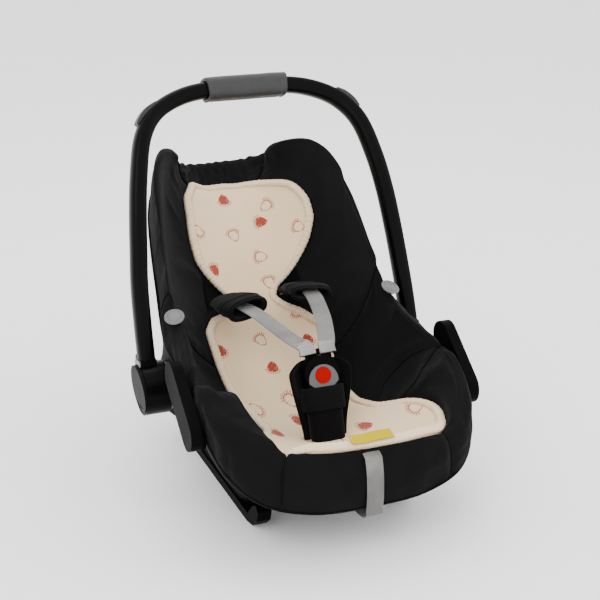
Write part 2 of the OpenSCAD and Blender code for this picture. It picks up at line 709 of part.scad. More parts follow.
// A folded pad round the upper part of a strap.
module shoulder_pad(points, tilt) {
    hs = [for (i = [0:8]) lerp(0.1, 0.42, i / 8)];
    function ring(h, half_w, half_t) =
        let (
            p = route(points, h),
            forward = unit(route(points, h + 0.01) - route(points, h - 0.01)),
            wide = unit([1, 0.1, tilt]),
            side = unit(wide - forward * (wide * forward))
        )
        round_ring(p, side, cross(side, forward), half_w, half_t, 16, 0.75);
    color("#202021") sleeve(
        [for (h = hs) ring(h, 27 + 22 * (h - 0.1), 7 + 8 * (h - 0.1))],
        [for (h = hs) ring(h, 16, 4.4)]
    );
}
module shoulder_pad_left() shoulder_pad(STRAP_LEFT, 0.15);
module shoulder_pad_right() shoulder_pad(STRAP_RIGHT, -0.1);

// Children stand on the crotch strap's root: Z runs up the strap, -Y faces the front.
module at_crotch() translate([0, crotch_y, crotch_z]) rotate([-crotch_lean, 0, 0]) children();
buckle_low = 66;
buckle_high = 128;
button_z = 99;
button_r = buckle_button_d / 2;
face_y = -10;
back_y = 11;
module upright(y0, y1) translate([0, y1, 0]) rotate([90, 0, 0]) linear_extrude(y1 - y0) children();
module buckle_housing() {
    shape = concat([[-20, buckle_low], [20, buckle_low]], arc([0, buckle_high - 27], 27, 0, 180, 24));
    color("#141415") at_crotch() difference() {
        upright(face_y, back_y) polygon(shape);
        translate([0, face_y - 1, button_z]) rotate([-90, 0, 0]) cylinder(r = button_r + 0.3, h = 17);
        for (x = [-12, 12]) translate([x - 8.3, -2.3, 112]) cube([16.6, 4.6, 30]);
    }
}
module buckle_face() {
    shape = concat([[-12, 80], [12, 80]], arc([0, 92], 22.5, -8, 188, 20));
    color("#6f7074") at_crotch() difference() {
        upright(face_y - 1.3, face_y - 0.1) polygon(shape);
        translate([0, face_y - 2, button_z]) rotate([-90, 0, 0]) cylinder(r = button_r + 0.3, h = 5);
    }
}
module buckle_button() {
    color("#ee2a24") at_crotch()
        translate([0, face_y - 2.2, button_z]) rotate([-90, 0, 0]) cylinder(r = button_r, h = 8);
}
module buckle_spring() {
    color("#b0b2b4") at_crotch() translate([0, 0, button_z]) rotate([0, 0, 90])
        coil_spring(face_y + 5.9, face_y + 15.9, 6, 0.7, 3);
}
module buckle_tongue(left) {
    color("#4a4b4d") at_crotch() on_side(left) translate([12, 0, 0]) difference() {
        union() {
            translate([-8, -2, 113]) cube([16, 4, 16]);
            translate([-11.5, -2, 128.3]) cube([27, 4, 9]);
        }
        translate([-9, -3, 131]) cube([22, 6, 3]);
    }
}
module buckle_tongue_left() buckle_tongue(true);
module buckle_tongue_right() buckle_tongue(false);
module crotch_strap() {
    color("#8f8d8b") at_crotch()
        translate([-webbing_width / 2, -1, 0.5]) cube([webbing_width, 2, buckle_low - 0.7]);
}
// The pad is a sleeve round the strap below the buckle and a cup behind and beside it.
module crotch_pad() {
    color("#1c1c1d") at_crotch() difference() {
        hull() {
            translate([-26, -9, 2]) cube([52, 18, 4]);
            translate([-27, -15, 62]) cube([54, 33, 4]);
            translate([-36, -6, 118]) cube([72, 24, 4]);
        }
        translate([-14, -1.5, -5]) cube([28, 3, 80]);
        translate([-28.5, face_y - 1.5, buckle_low - 0.5]) cube([57, back_y - face_y + 2, 80]);
        translate([-50, face_y - 22, 84]) cube([100, 20.5, 60]);
    }
}
// ---------- harness adjuster at the front edge ----------
module adjuster_housing() {
    color("#2b2b2c") difference() {
        translate([-20, -300, 97]) cube([40, 34, 22]);
        translate([-11, -294, 103]) cube([22, 30, 20]);
        translate([0, -270, 113]) along_x(-21, 21, 2.05);
        translate([-14, -310, 108]) cube([28, 14, 12]);
    }
}
module adjuster_lever() {
    color("#b9babb") union() {
        translate([0, -270, 113]) along_x(-19, 19, 2);
        translate([-10, -291, 111]) cube([20, 21, 4]);
    }
}
strap_lift = 5.5;
module adjuster_strap() {
    front = [for (i = [0:9]) let (s = lerp(0.1, -1, i / 9)) layer(0, s, -strap_lift)];
    points = concat(
        [[0, -303, 121], [0, -308, 136], [0, -310.5, 149], [0, -315, 154.5]],
        [for (i = [2:9]) front[i]],
        [[0, -334, 68], [0, -322, 60], [0, -292, 57], [0, -262, 56]]
    );
    color("#9a9896") webbing(points, [for (p = points) [1, 0, 0]]);
}

shell();
rocker_skirt();
rocker_skid_left();
rocker_skid_right();
latch_bar_front();
latch_bar_rear();
foam_liner();
head_wing_left();
head_wing_right();
head_panel();
side_panel_left();
side_panel_right();
thigh_bolster_left();
thigh_bolster_right();
front_panel();
seat_cover();
comfort_liner();
liner_tag();
canopy_stud_left();
canopy_stud_right();
belt_horn_left();
belt_horn_right();
pivot_plate_left();
pivot_plate_right();
hub_axle_left();
hub_axle_right();
handle_bar();
handle_grip();
hub_left();
hub_right();
hub_cap_left();
hub_cap_right();
hub_indicator_left();
hub_indicator_right();
handle_button_left();
handle_button_right();
lock_plunger_left();
lock_plunger_right();
lock_spring_left();
lock_spring_right();
shoulder_pad_left();
shoulder_pad_right();
shoulder_strap_left();
shoulder_strap_right();
buckle_tongue_left();
buckle_tongue_right();
buckle_housing();
buckle_face();
buckle_button();
buckle_spring();
crotch_pad();
crotch_strap();
adjuster_strap();
adjuster_housing();
adjuster_lever();
rear_belt_guide();
fixing_screws();
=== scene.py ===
"""Looks of the infant car seat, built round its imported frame.

Lengths in the seat's surface functions are millimetres, as in the frame's source; every mesh
is made in metres. Stations u run round the seat from the front middle (0) to the head
middle (1), negative on the left. s is -1 on the shell's lip, 0 on the crest of the padding
and 1 on the middle line.
"""
import math
from functools import partial

import bpy
import numpy as np
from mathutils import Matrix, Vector


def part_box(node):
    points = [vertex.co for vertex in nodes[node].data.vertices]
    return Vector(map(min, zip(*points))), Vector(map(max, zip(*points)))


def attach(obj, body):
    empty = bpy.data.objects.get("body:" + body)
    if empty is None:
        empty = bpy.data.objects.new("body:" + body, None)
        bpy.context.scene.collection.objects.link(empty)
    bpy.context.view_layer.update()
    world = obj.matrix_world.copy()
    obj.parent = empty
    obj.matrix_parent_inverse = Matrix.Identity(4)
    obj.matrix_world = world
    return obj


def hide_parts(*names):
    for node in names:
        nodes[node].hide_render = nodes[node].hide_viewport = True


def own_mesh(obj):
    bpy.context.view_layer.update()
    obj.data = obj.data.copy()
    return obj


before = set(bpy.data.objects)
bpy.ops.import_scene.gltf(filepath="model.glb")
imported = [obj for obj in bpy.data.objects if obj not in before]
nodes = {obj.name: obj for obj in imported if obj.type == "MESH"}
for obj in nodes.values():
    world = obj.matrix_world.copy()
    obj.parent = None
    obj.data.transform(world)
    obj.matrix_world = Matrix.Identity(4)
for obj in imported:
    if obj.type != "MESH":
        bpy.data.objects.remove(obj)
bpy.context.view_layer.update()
MM = 0.001
SIDES = (("left", -1), ("right", 1))

# ---------- the seat's surface
CREST = np.array([
    [0, -319, 150], [80, -316, 151], [135, -297, 155], [175, -250, 185], [192, -190, 210],
    [188, -130, 222], [176, -50, 242], [172, 10, 268], [166, 60, 335], [157, 110, 395],
    [142, 165, 438], [118, 213, 451], [85, 266, 431], [55, 314, 403], [0, 320, 400],
], float)
LIP = np.array([
    [0, -329, 77], [80, -326, 80], [145, -306, 95], [183, -262, 125], [195, -200, 160],
    [192, -130, 185], [188, -50, 205], [184, 20, 220], [176, 80, 280], [168, 130, 330],
    [154, 185, 362], [132, 238, 382], [100, 290, 382], [60, 328, 374], [0, 336, 371],
], float)
LAST = len(CREST) - 1
FLIP = np.array([-1.0, 1.0, 1.0])
PAN_LEVEL, MEAN_SLOPE, HALF_SLOPE, BEND_Y, BEND_R = 98, 0.5, 0.8, 10, 112.5
SPINE_FRONT, SPINE_HEAD, FAN = -200, 215, 0.06
LEVEL = PAN_LEVEL - MEAN_SLOPE * BEND_Y - BEND_R * math.sqrt(HALF_SLOPE ** 2 - MEAN_SLOPE ** 2)
LINER_PAD, LAYER_GAP, CREST_PAD, HEM_PAD, COVER_PAD = 9, 1.2, 5, 3, 8
SHELL_DROP, SHELL_WALL, HUB_FACE, PIVOT_Z = 48, 3.5, 186, 152


def unit(v):
    return v / np.maximum(np.linalg.norm(v, axis=-1, keepdims=True), 1e-9)


def walked(points):
    """The way walked along a line of points, from 0 at its first point."""
    return np.concatenate([[0], np.cumsum(np.linalg.norm(np.diff(points, axis=0), axis=1))])


def circle(sides):
    return np.linspace(0, 2 * math.pi, sides, endpoint=False)


def catmull(p, i, f):
    """A smooth curve through the points p, a share f of the way past its point i + 1."""
    a, b, c, d = p[i], p[i + 1], p[i + 2], p[i + 3]
    return 0.5 * (2 * b + (c - a) * f + (2 * a - 5 * b + 4 * c - d) * f * f
                  + (3 * b - 3 * c + d - a) * f ** 3)


def along(outline, h):
    """A smooth half outline, mirrored past both of its ends, at h from 0 to 1."""
    h = np.asarray(h, float)
    ends = np.vstack([outline[1] * FLIP, outline, outline[LAST - 1] * FLIP])
    t = np.clip(h, 0, 1) * LAST
    i = np.minimum(np.floor(t).astype(int), LAST - 1)
    return catmull(ends, i, (t - i)[..., None])


def spine_z(y):
    return LEVEL + MEAN_SLOPE * y + HALF_SLOPE * np.sqrt((y - BEND_Y) ** 2 + BEND_R ** 2)


def spine_slope(y):
    return MEAN_SLOPE + HALF_SLOPE * (y - BEND_Y) / np.sqrt((y - BEND_Y) ** 2 + BEND_R ** 2)


def spine_y(h):
    t = np.clip((along(CREST, h)[..., 1] + 0.5) / 319.5, -1, 1)
    middle, half = (SPINE_FRONT + SPINE_HEAD) / 2, (SPINE_HEAD - SPINE_FRONT) / 2
    return middle + half * ((1 - FAN) * (1.5 * t - 0.5 * t ** 3) + FAN * (2 * h - 1))


def bezier(a, b, c, d, t):
    t = t[..., None]
    r = 1 - t
    return r ** 3 * a + 3 * r * r * t * b + 3 * r * t * t * c + t ** 3 * d


def floor_reach(rim, y, z, slope):
    return np.minimum(0.8, 0.6 * (rim[..., 2] - z) / np.maximum(slope * (rim[..., 1] - y), 1))


def low_tangent(rim, y, slope, reach):
    return reach[..., None] * np.stack([rim[..., 0], rim[..., 1] - y, slope * (rim[..., 1] - y)], -1)


def bowl(h, s):
    rim, y = along(CREST, h), spine_y(h)
    z, m = spine_z(y), spine_slope(y)
    low = np.stack([0 * y, y, z], -1)
    toward = np.stack([-rim[..., 0], y - rim[..., 1], 0 * y], -1)
    turn = low + low_tangent(rim, y, m, floor_reach(rim, y, z, m))
    return bezier(rim, rim + 0.06 * toward, turn, low, s)


def hem(h, q):
    rim, lip = along(CREST, h), along(LIP, h)
    out = unit((lip - rim) * np.array([1, 1, 0]))
    turn = lip + 5 * out
    turn[..., 2] += 0.45 * (rim[..., 2] - lip[..., 2])
    return bezier(rim, rim + 8 * out, turn, lip, q)


def wrapped(u):
    """A station from -1 to 1, for one that runs on past the head's middle."""
    return np.where(u > 1, u - 2, np.where(u < -1, u + 2, u))


def mirrored(u, make):
    """Points of make(h) at stations u, flipped to the left where u is negative."""
    w = wrapped(u)
    points = make(abs(w))
    points[..., 0] *= np.where(w < 0, -1, 1)
    return points


def pad_at(u, s):
    u, s = np.broadcast_arrays(np.asarray(u, float), np.asarray(s, float))
    inner, outer = np.clip(s, 0, 1), np.clip(-s, 0, 1)
    return mirrored(u, lambda h: np.where((s >= 0)[..., None], bowl(h, inner), hem(h, outer)).copy())


def normal_of(surface, u, s, low_end, step=0.004):
    du = surface(u + step, s) - surface(u - step, s)
    ds = surface(u, np.minimum(1, s + step)) - surface(u, np.maximum(low_end, s - step))
    n = unit(np.cross(ds, du))
    m = spine_slope(spine_y(abs(np.clip(u, -1, 1))))
    down = unit(np.stack([0 * m, m, -1 + 0 * m], -1))
    return np.where((s > 0.97)[..., None], down, n)


def layer(u, s, depth):
    """The padding's surface moved depth into the padding."""
    u, s = np.broadcast_arrays(np.asarray(u, float), np.asarray(s, float))
    return pad_at(u, s) + np.asarray(depth, float)[..., None] * normal_of(pad_at, u, s, -1)


def ease(t):
    f = np.clip(t, 0, 1)
    return f * f * (3 - 2 * f)


def cover_top(s):
    return (LINER_PAD + LAYER_GAP) * ease((s - 0.12) / 0.36)


def cover_under(s):
    hem_side = HEM_PAD + (CREST_PAD - HEM_PAD) * (1 + s)
    seat_side = cover_top(s) + CREST_PAD + (COVER_PAD - CREST_PAD) * ease(s / 0.4)
    return np.where(s < 0, hem_side, seat_side)


def belly_at(u, t):
    u, t = np.broadcast_arrays(np.asarray(u, float), np.asarray(t, float))

    def make(h):
        lip, y = along(LIP, h), spine_y(h)
        z, m = spine_z(y) - SHELL_DROP - 0.04 * (y - SPINE_FRONT), spine_slope(y)
        low = np.stack([0 * y, y, z], -1)
        k = np.minimum(0.62, floor_reach(lip, y, z, m))
        drop = np.maximum(lip[..., 2] - z - k * m * (lip[..., 1] - y), 0)
        side = lip - np.stack([0 * drop, 0 * drop, 0.5 * drop], -1)
        p = bezier(lip, side, low + low_tangent(lip, y, m, k), low, t)
        e = ease((68 - np.hypot(p[..., 1], p[..., 2] - PIVOT_Z)) / 26)
        p[..., 0] += (HUB_FACE - p[..., 0]) * np.where(p[..., 0] > 120, e, 0)
        return p

    return mirrored(u, make)


# ---------- meshes
def add_object(name, data):
    obj = bpy.data.objects.new(name, data)
    bpy.context.scene.collection.objects.link(obj)
    return obj


def add_mesh(name, points, faces, uv=None):
    mesh = bpy.data.meshes.new(name)
    mesh.from_pydata([tuple(p) for p in np.asarray(points) * MM], [], faces)
    mesh.validate()
    mesh.polygons.foreach_set("use_smooth", [True] * len(mesh.polygons))
    if uv is not None:
        corner = np.zeros(len(mesh.loops), np.int32)
        mesh.loops.foreach_get("vertex_index", corner)
        mesh.uv_layers.new(name="UVMap").data.foreach_set("uv", np.asarray(uv)[corner].ravel())
    return add_object(name, mesh)


def grid_uv(grid):
    """Distances along a grid's rows and columns, in metres, as its texture plane."""
    across = np.linalg.norm(np.diff(grid, axis=0), axis=2)
    down = np.linalg.norm(np.diff(grid, axis=1), axis=2)
    a = np.vstack([np.zeros((1, grid.shape[1])), np.cumsum(across, 0)])
    a = np.repeat(a.mean(1)[:, None], grid.shape[1], 1)
    b = np.hstack([np.zeros((grid.shape[0], 1)), np.cumsum(down, 1)])
    return np.stack([a, b], -1).reshape(-1, 2) * MM


def slab(name, top, under):
    """A closed solid between two grids of the same size."""
    rows, cols = top.shape[:2]
    count = rows * cols

    def at(i, j):
        return i * cols + j

    faces = []
    for i in range(rows - 1):
        for j in range(cols - 1):
            quad = [at(i, j), at(i, j + 1), at(i + 1, j + 1), at(i + 1, j)]
            faces += [quad, [count + v for v in reversed(quad)]]
    rim = [at(i, 0) for i in range(rows)] + [at(rows - 1, j) for j in range(1, cols)]
    rim += [at(i, cols - 1) for i in range(rows - 2, -1, -1)] + [at(0, j) for j in range(cols - 2, 0, -1)]
    for a, b in zip(rim, rim[1:] + rim[:1]):
        faces.append([a, b, count + b, count + a])
    uv = np.vstack([grid_uv(top), grid_uv(under)])
    return add_mesh(name, np.vstack([top.reshape(-1, 3), under.reshape(-1, 3)]), faces, uv)


def tube(name, rings, closed=False):
    """A skin over rings of points; uv runs round and along it, in metres."""
    rings = np.asarray(rings, float)
    count, sides = rings.shape[:2]
    faces = []
    for k in range(count if closed else count - 1):
        for i in range(sides):
            j, up = (i + 1) % sides, (k + 1) % count
            faces.append([k * sides + i, k * sides + j, up * sides + j, up * sides + i])
    if not closed:
        faces += [list(range(sides - 1, -1, -1)), [(count - 1) * sides + i for i in range(sides)]]
    length = walked(rings.mean(1))
    girth = np.linalg.norm(rings - np.roll(rings, 1, 1), axis=2).cumsum(1)
    uv = np.stack([girth, np.repeat(length[:, None], sides, 1)], -1).reshape(-1, 2) * MM
    return add_mesh(name, rings.reshape(-1, 3), faces, uv)


def spaced(points, step, closed=False):
    """Points about step apart along a line of points."""
    p = np.vstack([points, points[:1]]) if closed else np.asarray(points, float)
    d = walked(p)
    n = max(2, int(round(d[-1] / step)))
    at = np.linspace(0, d[-1], n, endpoint=not closed)
    return np.stack([np.interp(at, d, p[:, i]) for i in range(3)], -1)


def soften(line, times, closed=False):
    """Evens out the corners of a line of points."""
    for _ in range(times):
        near = (np.roll(line, 1, 0) + np.roll(line, -1, 0)) / 2
        moved = 0.5 * line + 0.5 * near
        if not closed:
            moved[0], moved[-1] = line[0], line[-1]
        line = moved
    return line


def spline(points, n):
    """A smooth open line through points."""
    p = np.asarray(points, float)
    e = np.vstack([p[0], p, p[-1]])
    t = np.linspace(0, len(p) - 1, n)
    i = np.minimum(t.astype(int), len(p) - 2)
    return catmull(e, i, (t - i)[:, None])


def directions(line, closed=False):
    if closed:
        return unit(np.roll(line, -1, 0) - np.roll(line, 1, 0))
    return unit(np.gradient(line, axis=0))


def oval(centre, a, b, half_a, half_b, sides, power=1.0):
    """A rounded ring about a centre, in the directions a and b."""
    t = circle(sides)
    c, s = np.cos(t), np.sin(t)
    c, s = np.sign(c) * abs(c) ** power, np.sign(s) * abs(s) ** power
    return centre + np.outer(c * half_a, a) + np.outer(s * half_b, b)


def cord_round(name, line, radius, closed=False, sides=10):
    """A thin round cord along a line, as piping or a stitched edge."""
    forward = directions(line, closed)
    up = unit(np.cross(forward, np.array([0.31, 0.22, 0.93])))
    side = np.cross(forward, up)
    return tube(name, [oval(p, a, b, radius, radius, sides) for p, a, b in zip(line, up, side)], closed)


def swept_frame(line, wide):
    """A line's directions ahead, across (as near wide as they can be) and over it."""
    forward = directions(line)
    side = unit(wide - forward * (wide * forward).sum(-1, keepdims=True))
    return forward, side, np.cross(side, forward)


def ribbon(name, line, across, width, thick):
    """Flat webbing with round edges along a line; across gives its width direction."""
    _, side, up = swept_frame(line, across)
    return tube(name, [oval(p, a, b, width / 2, thick / 2, 20, 0.45) for p, a, b in zip(line, side, up)])


def lathe(name, profile, centre, axis):
    """A turned piece: profile gives (radius, height) pairs along axis from centre."""
    axis = unit(np.asarray(axis, float))
    a = unit(np.cross(axis, [0.2, 0.9, 0.1]))
    b = np.cross(axis, a)
    rings = [[np.asarray(centre) + axis * h + r * (a * math.cos(t) + b * math.sin(t)) for t in circle(48)]
             for r, h in profile]
    return tube(name, rings)


def subdivide(obj):
    modifier = obj.modifiers.new("Subdivision", "SUBSURF")
    modifier.levels = modifier.render_levels = 1
    return obj


def smooth_noise(shape, grain, seed):
    """Even random waves over a grid, from -1 to 1; grain is their size in grid cells."""
    rng = np.random.default_rng(seed)
    n = np.array(shape)
    coarse = rng.uniform(-1, 1, (int(n[0] / grain) + 4, int(n[1] / grain) + 4))
    i, j = np.arange(n[0]) / grain, np.arange(n[1]) / grain
    i0, j0 = i.astype(int), j.astype(int)
    fi, fj = ease(i - i0)[:, None], ease(j - j0)[None, :]
    a, b = coarse[np.ix_(i0, j0)], coarse[np.ix_(i0, j0 + 1)]
    c, d = coarse[np.ix_(i0 + 1, j0)], coarse[np.ix_(i0 + 1, j0 + 1)]
    return (a * (1 - fj) + b * fj) * (1 - fi) + (c * (1 - fj) + d * fj) * fi


# ---------- cloth
CLOTH_FRAMES = 20


def settle(top, under, held, pressure, slack, limit):
    """Lets a padded skin swell and crease between its held points, as sewn cloth does."""
    obj = slab("cloth", top, under)
    pins = obj.vertex_groups.new(name="held")
    count = top.shape[0] * top.shape[1]
    pins.add(np.flatnonzero(held.ravel()).tolist() + list(range(count, 2 * count)), 1.0, "ADD")
    cloth = obj.modifiers.new("Cloth", "CLOTH")
    cloth.collision_settings.use_collision = False
    cloth.point_cache.frame_start, cloth.point_cache.frame_end = 1, CLOTH_FRAMES
    how = cloth.settings
    how.quality = 6
    how.mass = 0.3
    how.tension_stiffness = how.compression_stiffness = how.shear_stiffness = 12
    how.bending_stiffness = 0.4
    how.air_damping = 4
    how.vertex_group_mass = "held"
    how.use_pressure = True
    how.uniform_pressure_force = pressure
    how.shrink_min = -slack
    how.effector_weights.gravity = 0
    for number in range(1, CLOTH_FRAMES + 1):
        bpy.context.scene.frame_set(number)
    shown = obj.evaluated_get(bpy.context.evaluated_depsgraph_get())
    co = np.zeros(len(shown.data.vertices) * 3)
    shown.data.vertices.foreach_get("co", co)
    bpy.data.objects.remove(obj)
    bpy.context.scene.frame_set(1)
    moved = co.reshape(-1, 3)[:count].reshape(top.shape) / MM - top
    size = np.linalg.norm(moved, axis=-1, keepdims=True)
    return top + moved * limit * np.tanh(size / limit) / np.maximum(size, 1e-6)


# ---------- materials
def rgb(code):
    parts = [int(code[i:i + 2], 16) / 255 for i in (1, 3, 5)]
    return [c / 12.92 if c <= 0.04045 else ((c + 0.055) / 1.055) ** 2.4 for c in parts] + [1]


class Shader:
    """A small builder for node materials."""

    def __init__(self, name, rough, **sockets):
        self.material = bpy.data.materials.new(name)
        self.material.use_nodes = True
        self.tree = self.material.node_tree
        self.bsdf = self.tree.nodes["Principled BSDF"]
        self.bsdf.inputs["Roughness"].default_value = rough
        for key, value in sockets.items():
            self.bsdf.inputs[key].default_value = value

    def node(self, kind, links=(), **values):
        n = self.tree.nodes.new("ShaderNode" + kind)
        for key, value in values.items():
            if hasattr(n, key):
                setattr(n, key, value)
            else:
                n.inputs[key].default_value = value
        for socket, source in dict(links).items():
            self.tree.links.new(source, n.inputs[socket])
        return n

    def math(self, operation, a, b=0.0, c=0.0):
        n = self.node("Math", operation=operation)
        for i, value in enumerate((a, b, c)):
            if isinstance(value, (int, float)):
                n.inputs[i].default_value = value
            else:
                self.tree.links.new(value, n.inputs[i])
        return n.outputs[0]

    def mix(self, factor, a, b):
        n = self.node("Mix", data_type="RGBA")
        for i, value in ((0, factor), (6, a), (7, b)):
            if isinstance(value, (list, tuple, int, float)):
                n.inputs[i].default_value = value
            else:
                self.tree.links.new(value, n.inputs[i])
        return n.outputs[2]

    def place(self):
        return self.node("TexCoord").outputs["Object"]

    def noise(self, scale, detail=3.0):
        n = self.node("TexNoise", {"Vector": self.place()})
        n.inputs["Scale"].default_value = scale
        n.inputs["Detail"].default_value = detail
        n.inputs["Roughness"].default_value = 0.55
        return n.outputs[0]

    def wave(self, period, direction, distortion=0.0):
        """Ribs a period apart, in metres, across the piece's texture plane."""
        plane = self.node("UVMap", uv_map="UVMap").outputs[0]
        n = self.node("TexWave", {"Vector": plane}, bands_direction=direction)
        n.inputs["Scale"].default_value = math.pi / 10 / period
        n.inputs["Distortion"].default_value = distortion
        return n.outputs[1]

    def bump(self, height, distance, strength=1.0, under=None):
        n = self.node("Bump", {"Height": height})
        n.inputs["Distance"].default_value = distance
        n.inputs["Strength"].default_value = strength
        if under is not None:
            self.tree.links.new(under, n.inputs["Normal"])
        return n.outputs[0]

    def out(self, color=None, normal=None, rough=None):
        for socket, source in (("Base Color", color), ("Normal", normal), ("Roughness", rough)):
            if source is not None:
                self.tree.links.new(source, self.bsdf.inputs[socket])
        return self.material


def darker(code, share):
    return [c * share for c in rgb(code)[:3]] + [1]


def span(shader, value, low, high):
    n = shader.node("MapRange", {"Value": value})
    n.inputs["To Min"].default_value = low
    n.inputs["To Max"].default_value = high
    return n.outputs[0]


def plastic(name, dark, light, rough, grain=0.0006, specular=0.5):
    """Moulded plastic: a fine sparked texture and slight changes of tone."""
    m = Shader(name, rough, **{"Specular IOR Level": specular})
    tone = m.mix(m.noise(9), rgb(dark), rgb(light))
    worn = m.noise(35, detail=6)
    fine = m.bump(m.noise(1 / grain, detail=2), 0.00006, 0.5)
    return m.out(tone, m.bump(worn, 0.0004, 0.12, fine), span(m, worn, rough - 0.06, rough + 0.08))


def metal(name, code, rough):
    m = Shader(name, rough, Metallic=1.0)
    tone = m.mix(m.noise(30), rgb(code), darker(code, 0.8))
    brushed = m.noise(900, detail=4)
    return m.out(tone, m.bump(brushed, 0.00004, 0.5), span(m, brushed, rough - 0.05, rough + 0.12))


def fabric(name, dark, light, weave=0.0013, rough=0.92, sheen=0.25, uv=True):
    """Woven cover cloth: crossing threads with painted shade in the gaps between them, soft creases and a
    faint bloom.
    """
    m = Shader(name, rough, **{"Sheen Weight": sheen, "Sheen Roughness": 0.45,
                               "Specular IOR Level": 0.02})
    m.bsdf.inputs["Sheen Tint"].default_value = [0.7, 0.7, 0.72, 1]
    if uv:
        threads = m.math("MAXIMUM", m.wave(weave, "X"), m.wave(weave, "Y"))
    else:
        threads = m.noise(0.5 / weave, detail=1)
    tone = m.mix(m.noise(14, detail=4), rgb(dark), rgb(light))
    # painted shade: the gaps between the threads are drawn darker
    tone_with_gap_shade = m.mix(span(m, threads, 0.25, 0.0), tone, darker(dark, 0.4))
    creases = m.bump(m.noise(42, detail=5), 0.0009, 0.35)
    return m.out(tone_with_gap_shade, m.bump(threads, 0.00022, 0.7, creases),
                 span(m, m.noise(60), rough - 0.06, rough + 0.08))


def webbing_cloth(name, dark, light):
    """Satin harness webbing: fine cross ribs with painted shade in their grooves, two lengthwise lines and a
    soft shine.
    """
    m = Shader(name, 0.42, **{"Sheen Weight": 0.3, "Sheen Roughness": 0.3, "Specular IOR Level": 0.55})
    ribs = m.wave(0.0011, "Y", distortion=0.3)
    lines = m.wave(0.0021, "X")
    tone = m.mix(m.noise(25, detail=3), rgb(dark), rgb(light))
    # painted shade: the grooves between the ribs are drawn darker
    tone = m.mix(span(m, ribs, 0.35, 0.0), tone, darker(dark, 0.5))
    height = m.math("ADD", ribs, m.math("MULTIPLY", lines, 0.6))
    return m.out(tone, m.bump(height, 0.0002, 0.8), span(m, m.noise(40), 0.36, 0.52))


def leather(name, dark, light):
    m = Shader(name, 0.5, **{"Specular IOR Level": 0.45})
    cell = m.node("TexVoronoi", {"Vector": m.place()}, feature="DISTANCE_TO_EDGE")
    cell.inputs["Scale"].default_value = 620
    creases = m.node("ValToRGB", {"Fac": cell.outputs[0]})
    creases.color_ramp.elements[1].position = 0.18
    tone = m.mix(m.noise(18, detail=5), rgb(dark), rgb(light))
    # painted shade: the grain's creases are drawn darker
    tone = m.mix(creases.outputs[0], darker(dark, 0.6), tone)
    soft = m.bump(m.noise(60, detail=4), 0.0008, 0.35)
    return m.out(tone, m.bump(creases.outputs[0], 0.00018, 0.8, soft), span(m, m.noise(90), 0.42, 0.6))


def print_cloth(name, ground, shade, ink):
    """Cream spacer cloth with a scattered berry print, drawn from each berry's own plane."""
    m = Shader(name, 0.85, **{"Sheen Weight": 0.2, "Specular IOR Level": 0.25})
    place = m.node("SeparateXYZ", {"Vector": m.node("UVMap", uv_map="Berry").outputs[0]})
    kind = m.node("SeparateXYZ", {"Vector": m.node("UVMap", uv_map="Kind").outputs[0]}).outputs[0]
    x, y = place.outputs[0], place.outputs[1]
    times, larger = (partial(m.math, operation) for operation in ("MULTIPLY", "MAXIMUM"))
    wide = m.math("DIVIDE", x, m.math("MULTIPLY_ADD", y, 0.3, 0.86))
    reach = m.math("SQRT", m.math("ADD", times(wide, wide), times(y, y)))
    inside = m.math("LESS_THAN", reach, 1.0)
    line = m.math("COMPARE", reach, 0.96, 0.075)
    cells = m.node("TexVoronoi", {"Vector": m.node("UVMap", uv_map="Berry").outputs[0]})
    cells.inputs["Scale"].default_value = 2.7
    seeds = times(inside, m.math("LESS_THAN", cells.outputs[0], 0.24))
    angle = m.math("ARCTAN2", m.math("SUBTRACT", y, 0.1), x)
    rays = m.math("GREATER_THAN", m.math("SINE", times(angle, 21.0)), 0.15)
    crown = times(m.math("COMPARE", reach, 1.22, 0.16), m.math("GREATER_THAN", y, 0.45))
    leaves = times(rays, crown)
    full = times(inside, m.math("MULTIPLY_ADD", seeds, -0.8, 1.0))
    drawn = larger(line, seeds)
    body = m.math("ADD", times(kind, full),
                  times(m.math("SUBTRACT", 1.0, kind), times(drawn, 0.95)))
    printed = times(larger(body, times(leaves, 0.85)), 0.96)
    mesh_hole_shade_and_height = times(m.wave(0.0017, "X"), m.wave(0.0017, "Y"))
    base = m.mix(m.noise(11, detail=4), rgb(ground), rgb(shade))
    # painted shade: the spacer mesh's holes are drawn darker
    base = m.mix(span(m, mesh_hole_shade_and_height, 0.0, 0.22), base, darker(shade, 0.62))
    creases = m.bump(m.noise(38, detail=5), 0.0012, 0.5)
    return m.out(m.mix(printed, base, rgb(ink)), m.bump(mesh_hole_shade_and_height, 0.00025, 0.6, creases),
                 span(m, m.noise(70), 0.78, 0.92))


SHELL = plastic("shell_satin", "#050505", "#090909", 0.45, specular=0.015)
HANDLE = plastic("handle_satin", "#040404", "#070707", 0.3, specular=0.05)
CAP = plastic("cap_matt", "#080808", "#0c0c0c", 0.5, specular=0.06)
BUTTON = plastic("button_soft", "#1c1c1d", "#272728", 0.48, specular=0.3)
LIGHT = plastic("light_plastic", "#77787a", "#8a8b8d", 0.45, specular=0.3)
STUD = plastic("stud_plastic", "#555555", "#646464", 0.4, specular=0.3)
RED = plastic("red_plastic", "#8a0000", "#920000", 0.45, specular=0.02)
FACE = plastic("buckle_face_plastic", "#3c3d40", "#4a4b4f", 0.4)
STEEL = metal("steel", "#b4b6b8", 0.32)
FOAM = plastic("foam_beads", "#adadaa", "#c2c2bf", 0.9, grain=0.003)
COVER = fabric("cover_cloth", "#0c0c0d", "#131314", sheen=0.04)
COVER_HEAD = fabric("cover_cloth_head", "#101011", "#161617", sheen=0.06)
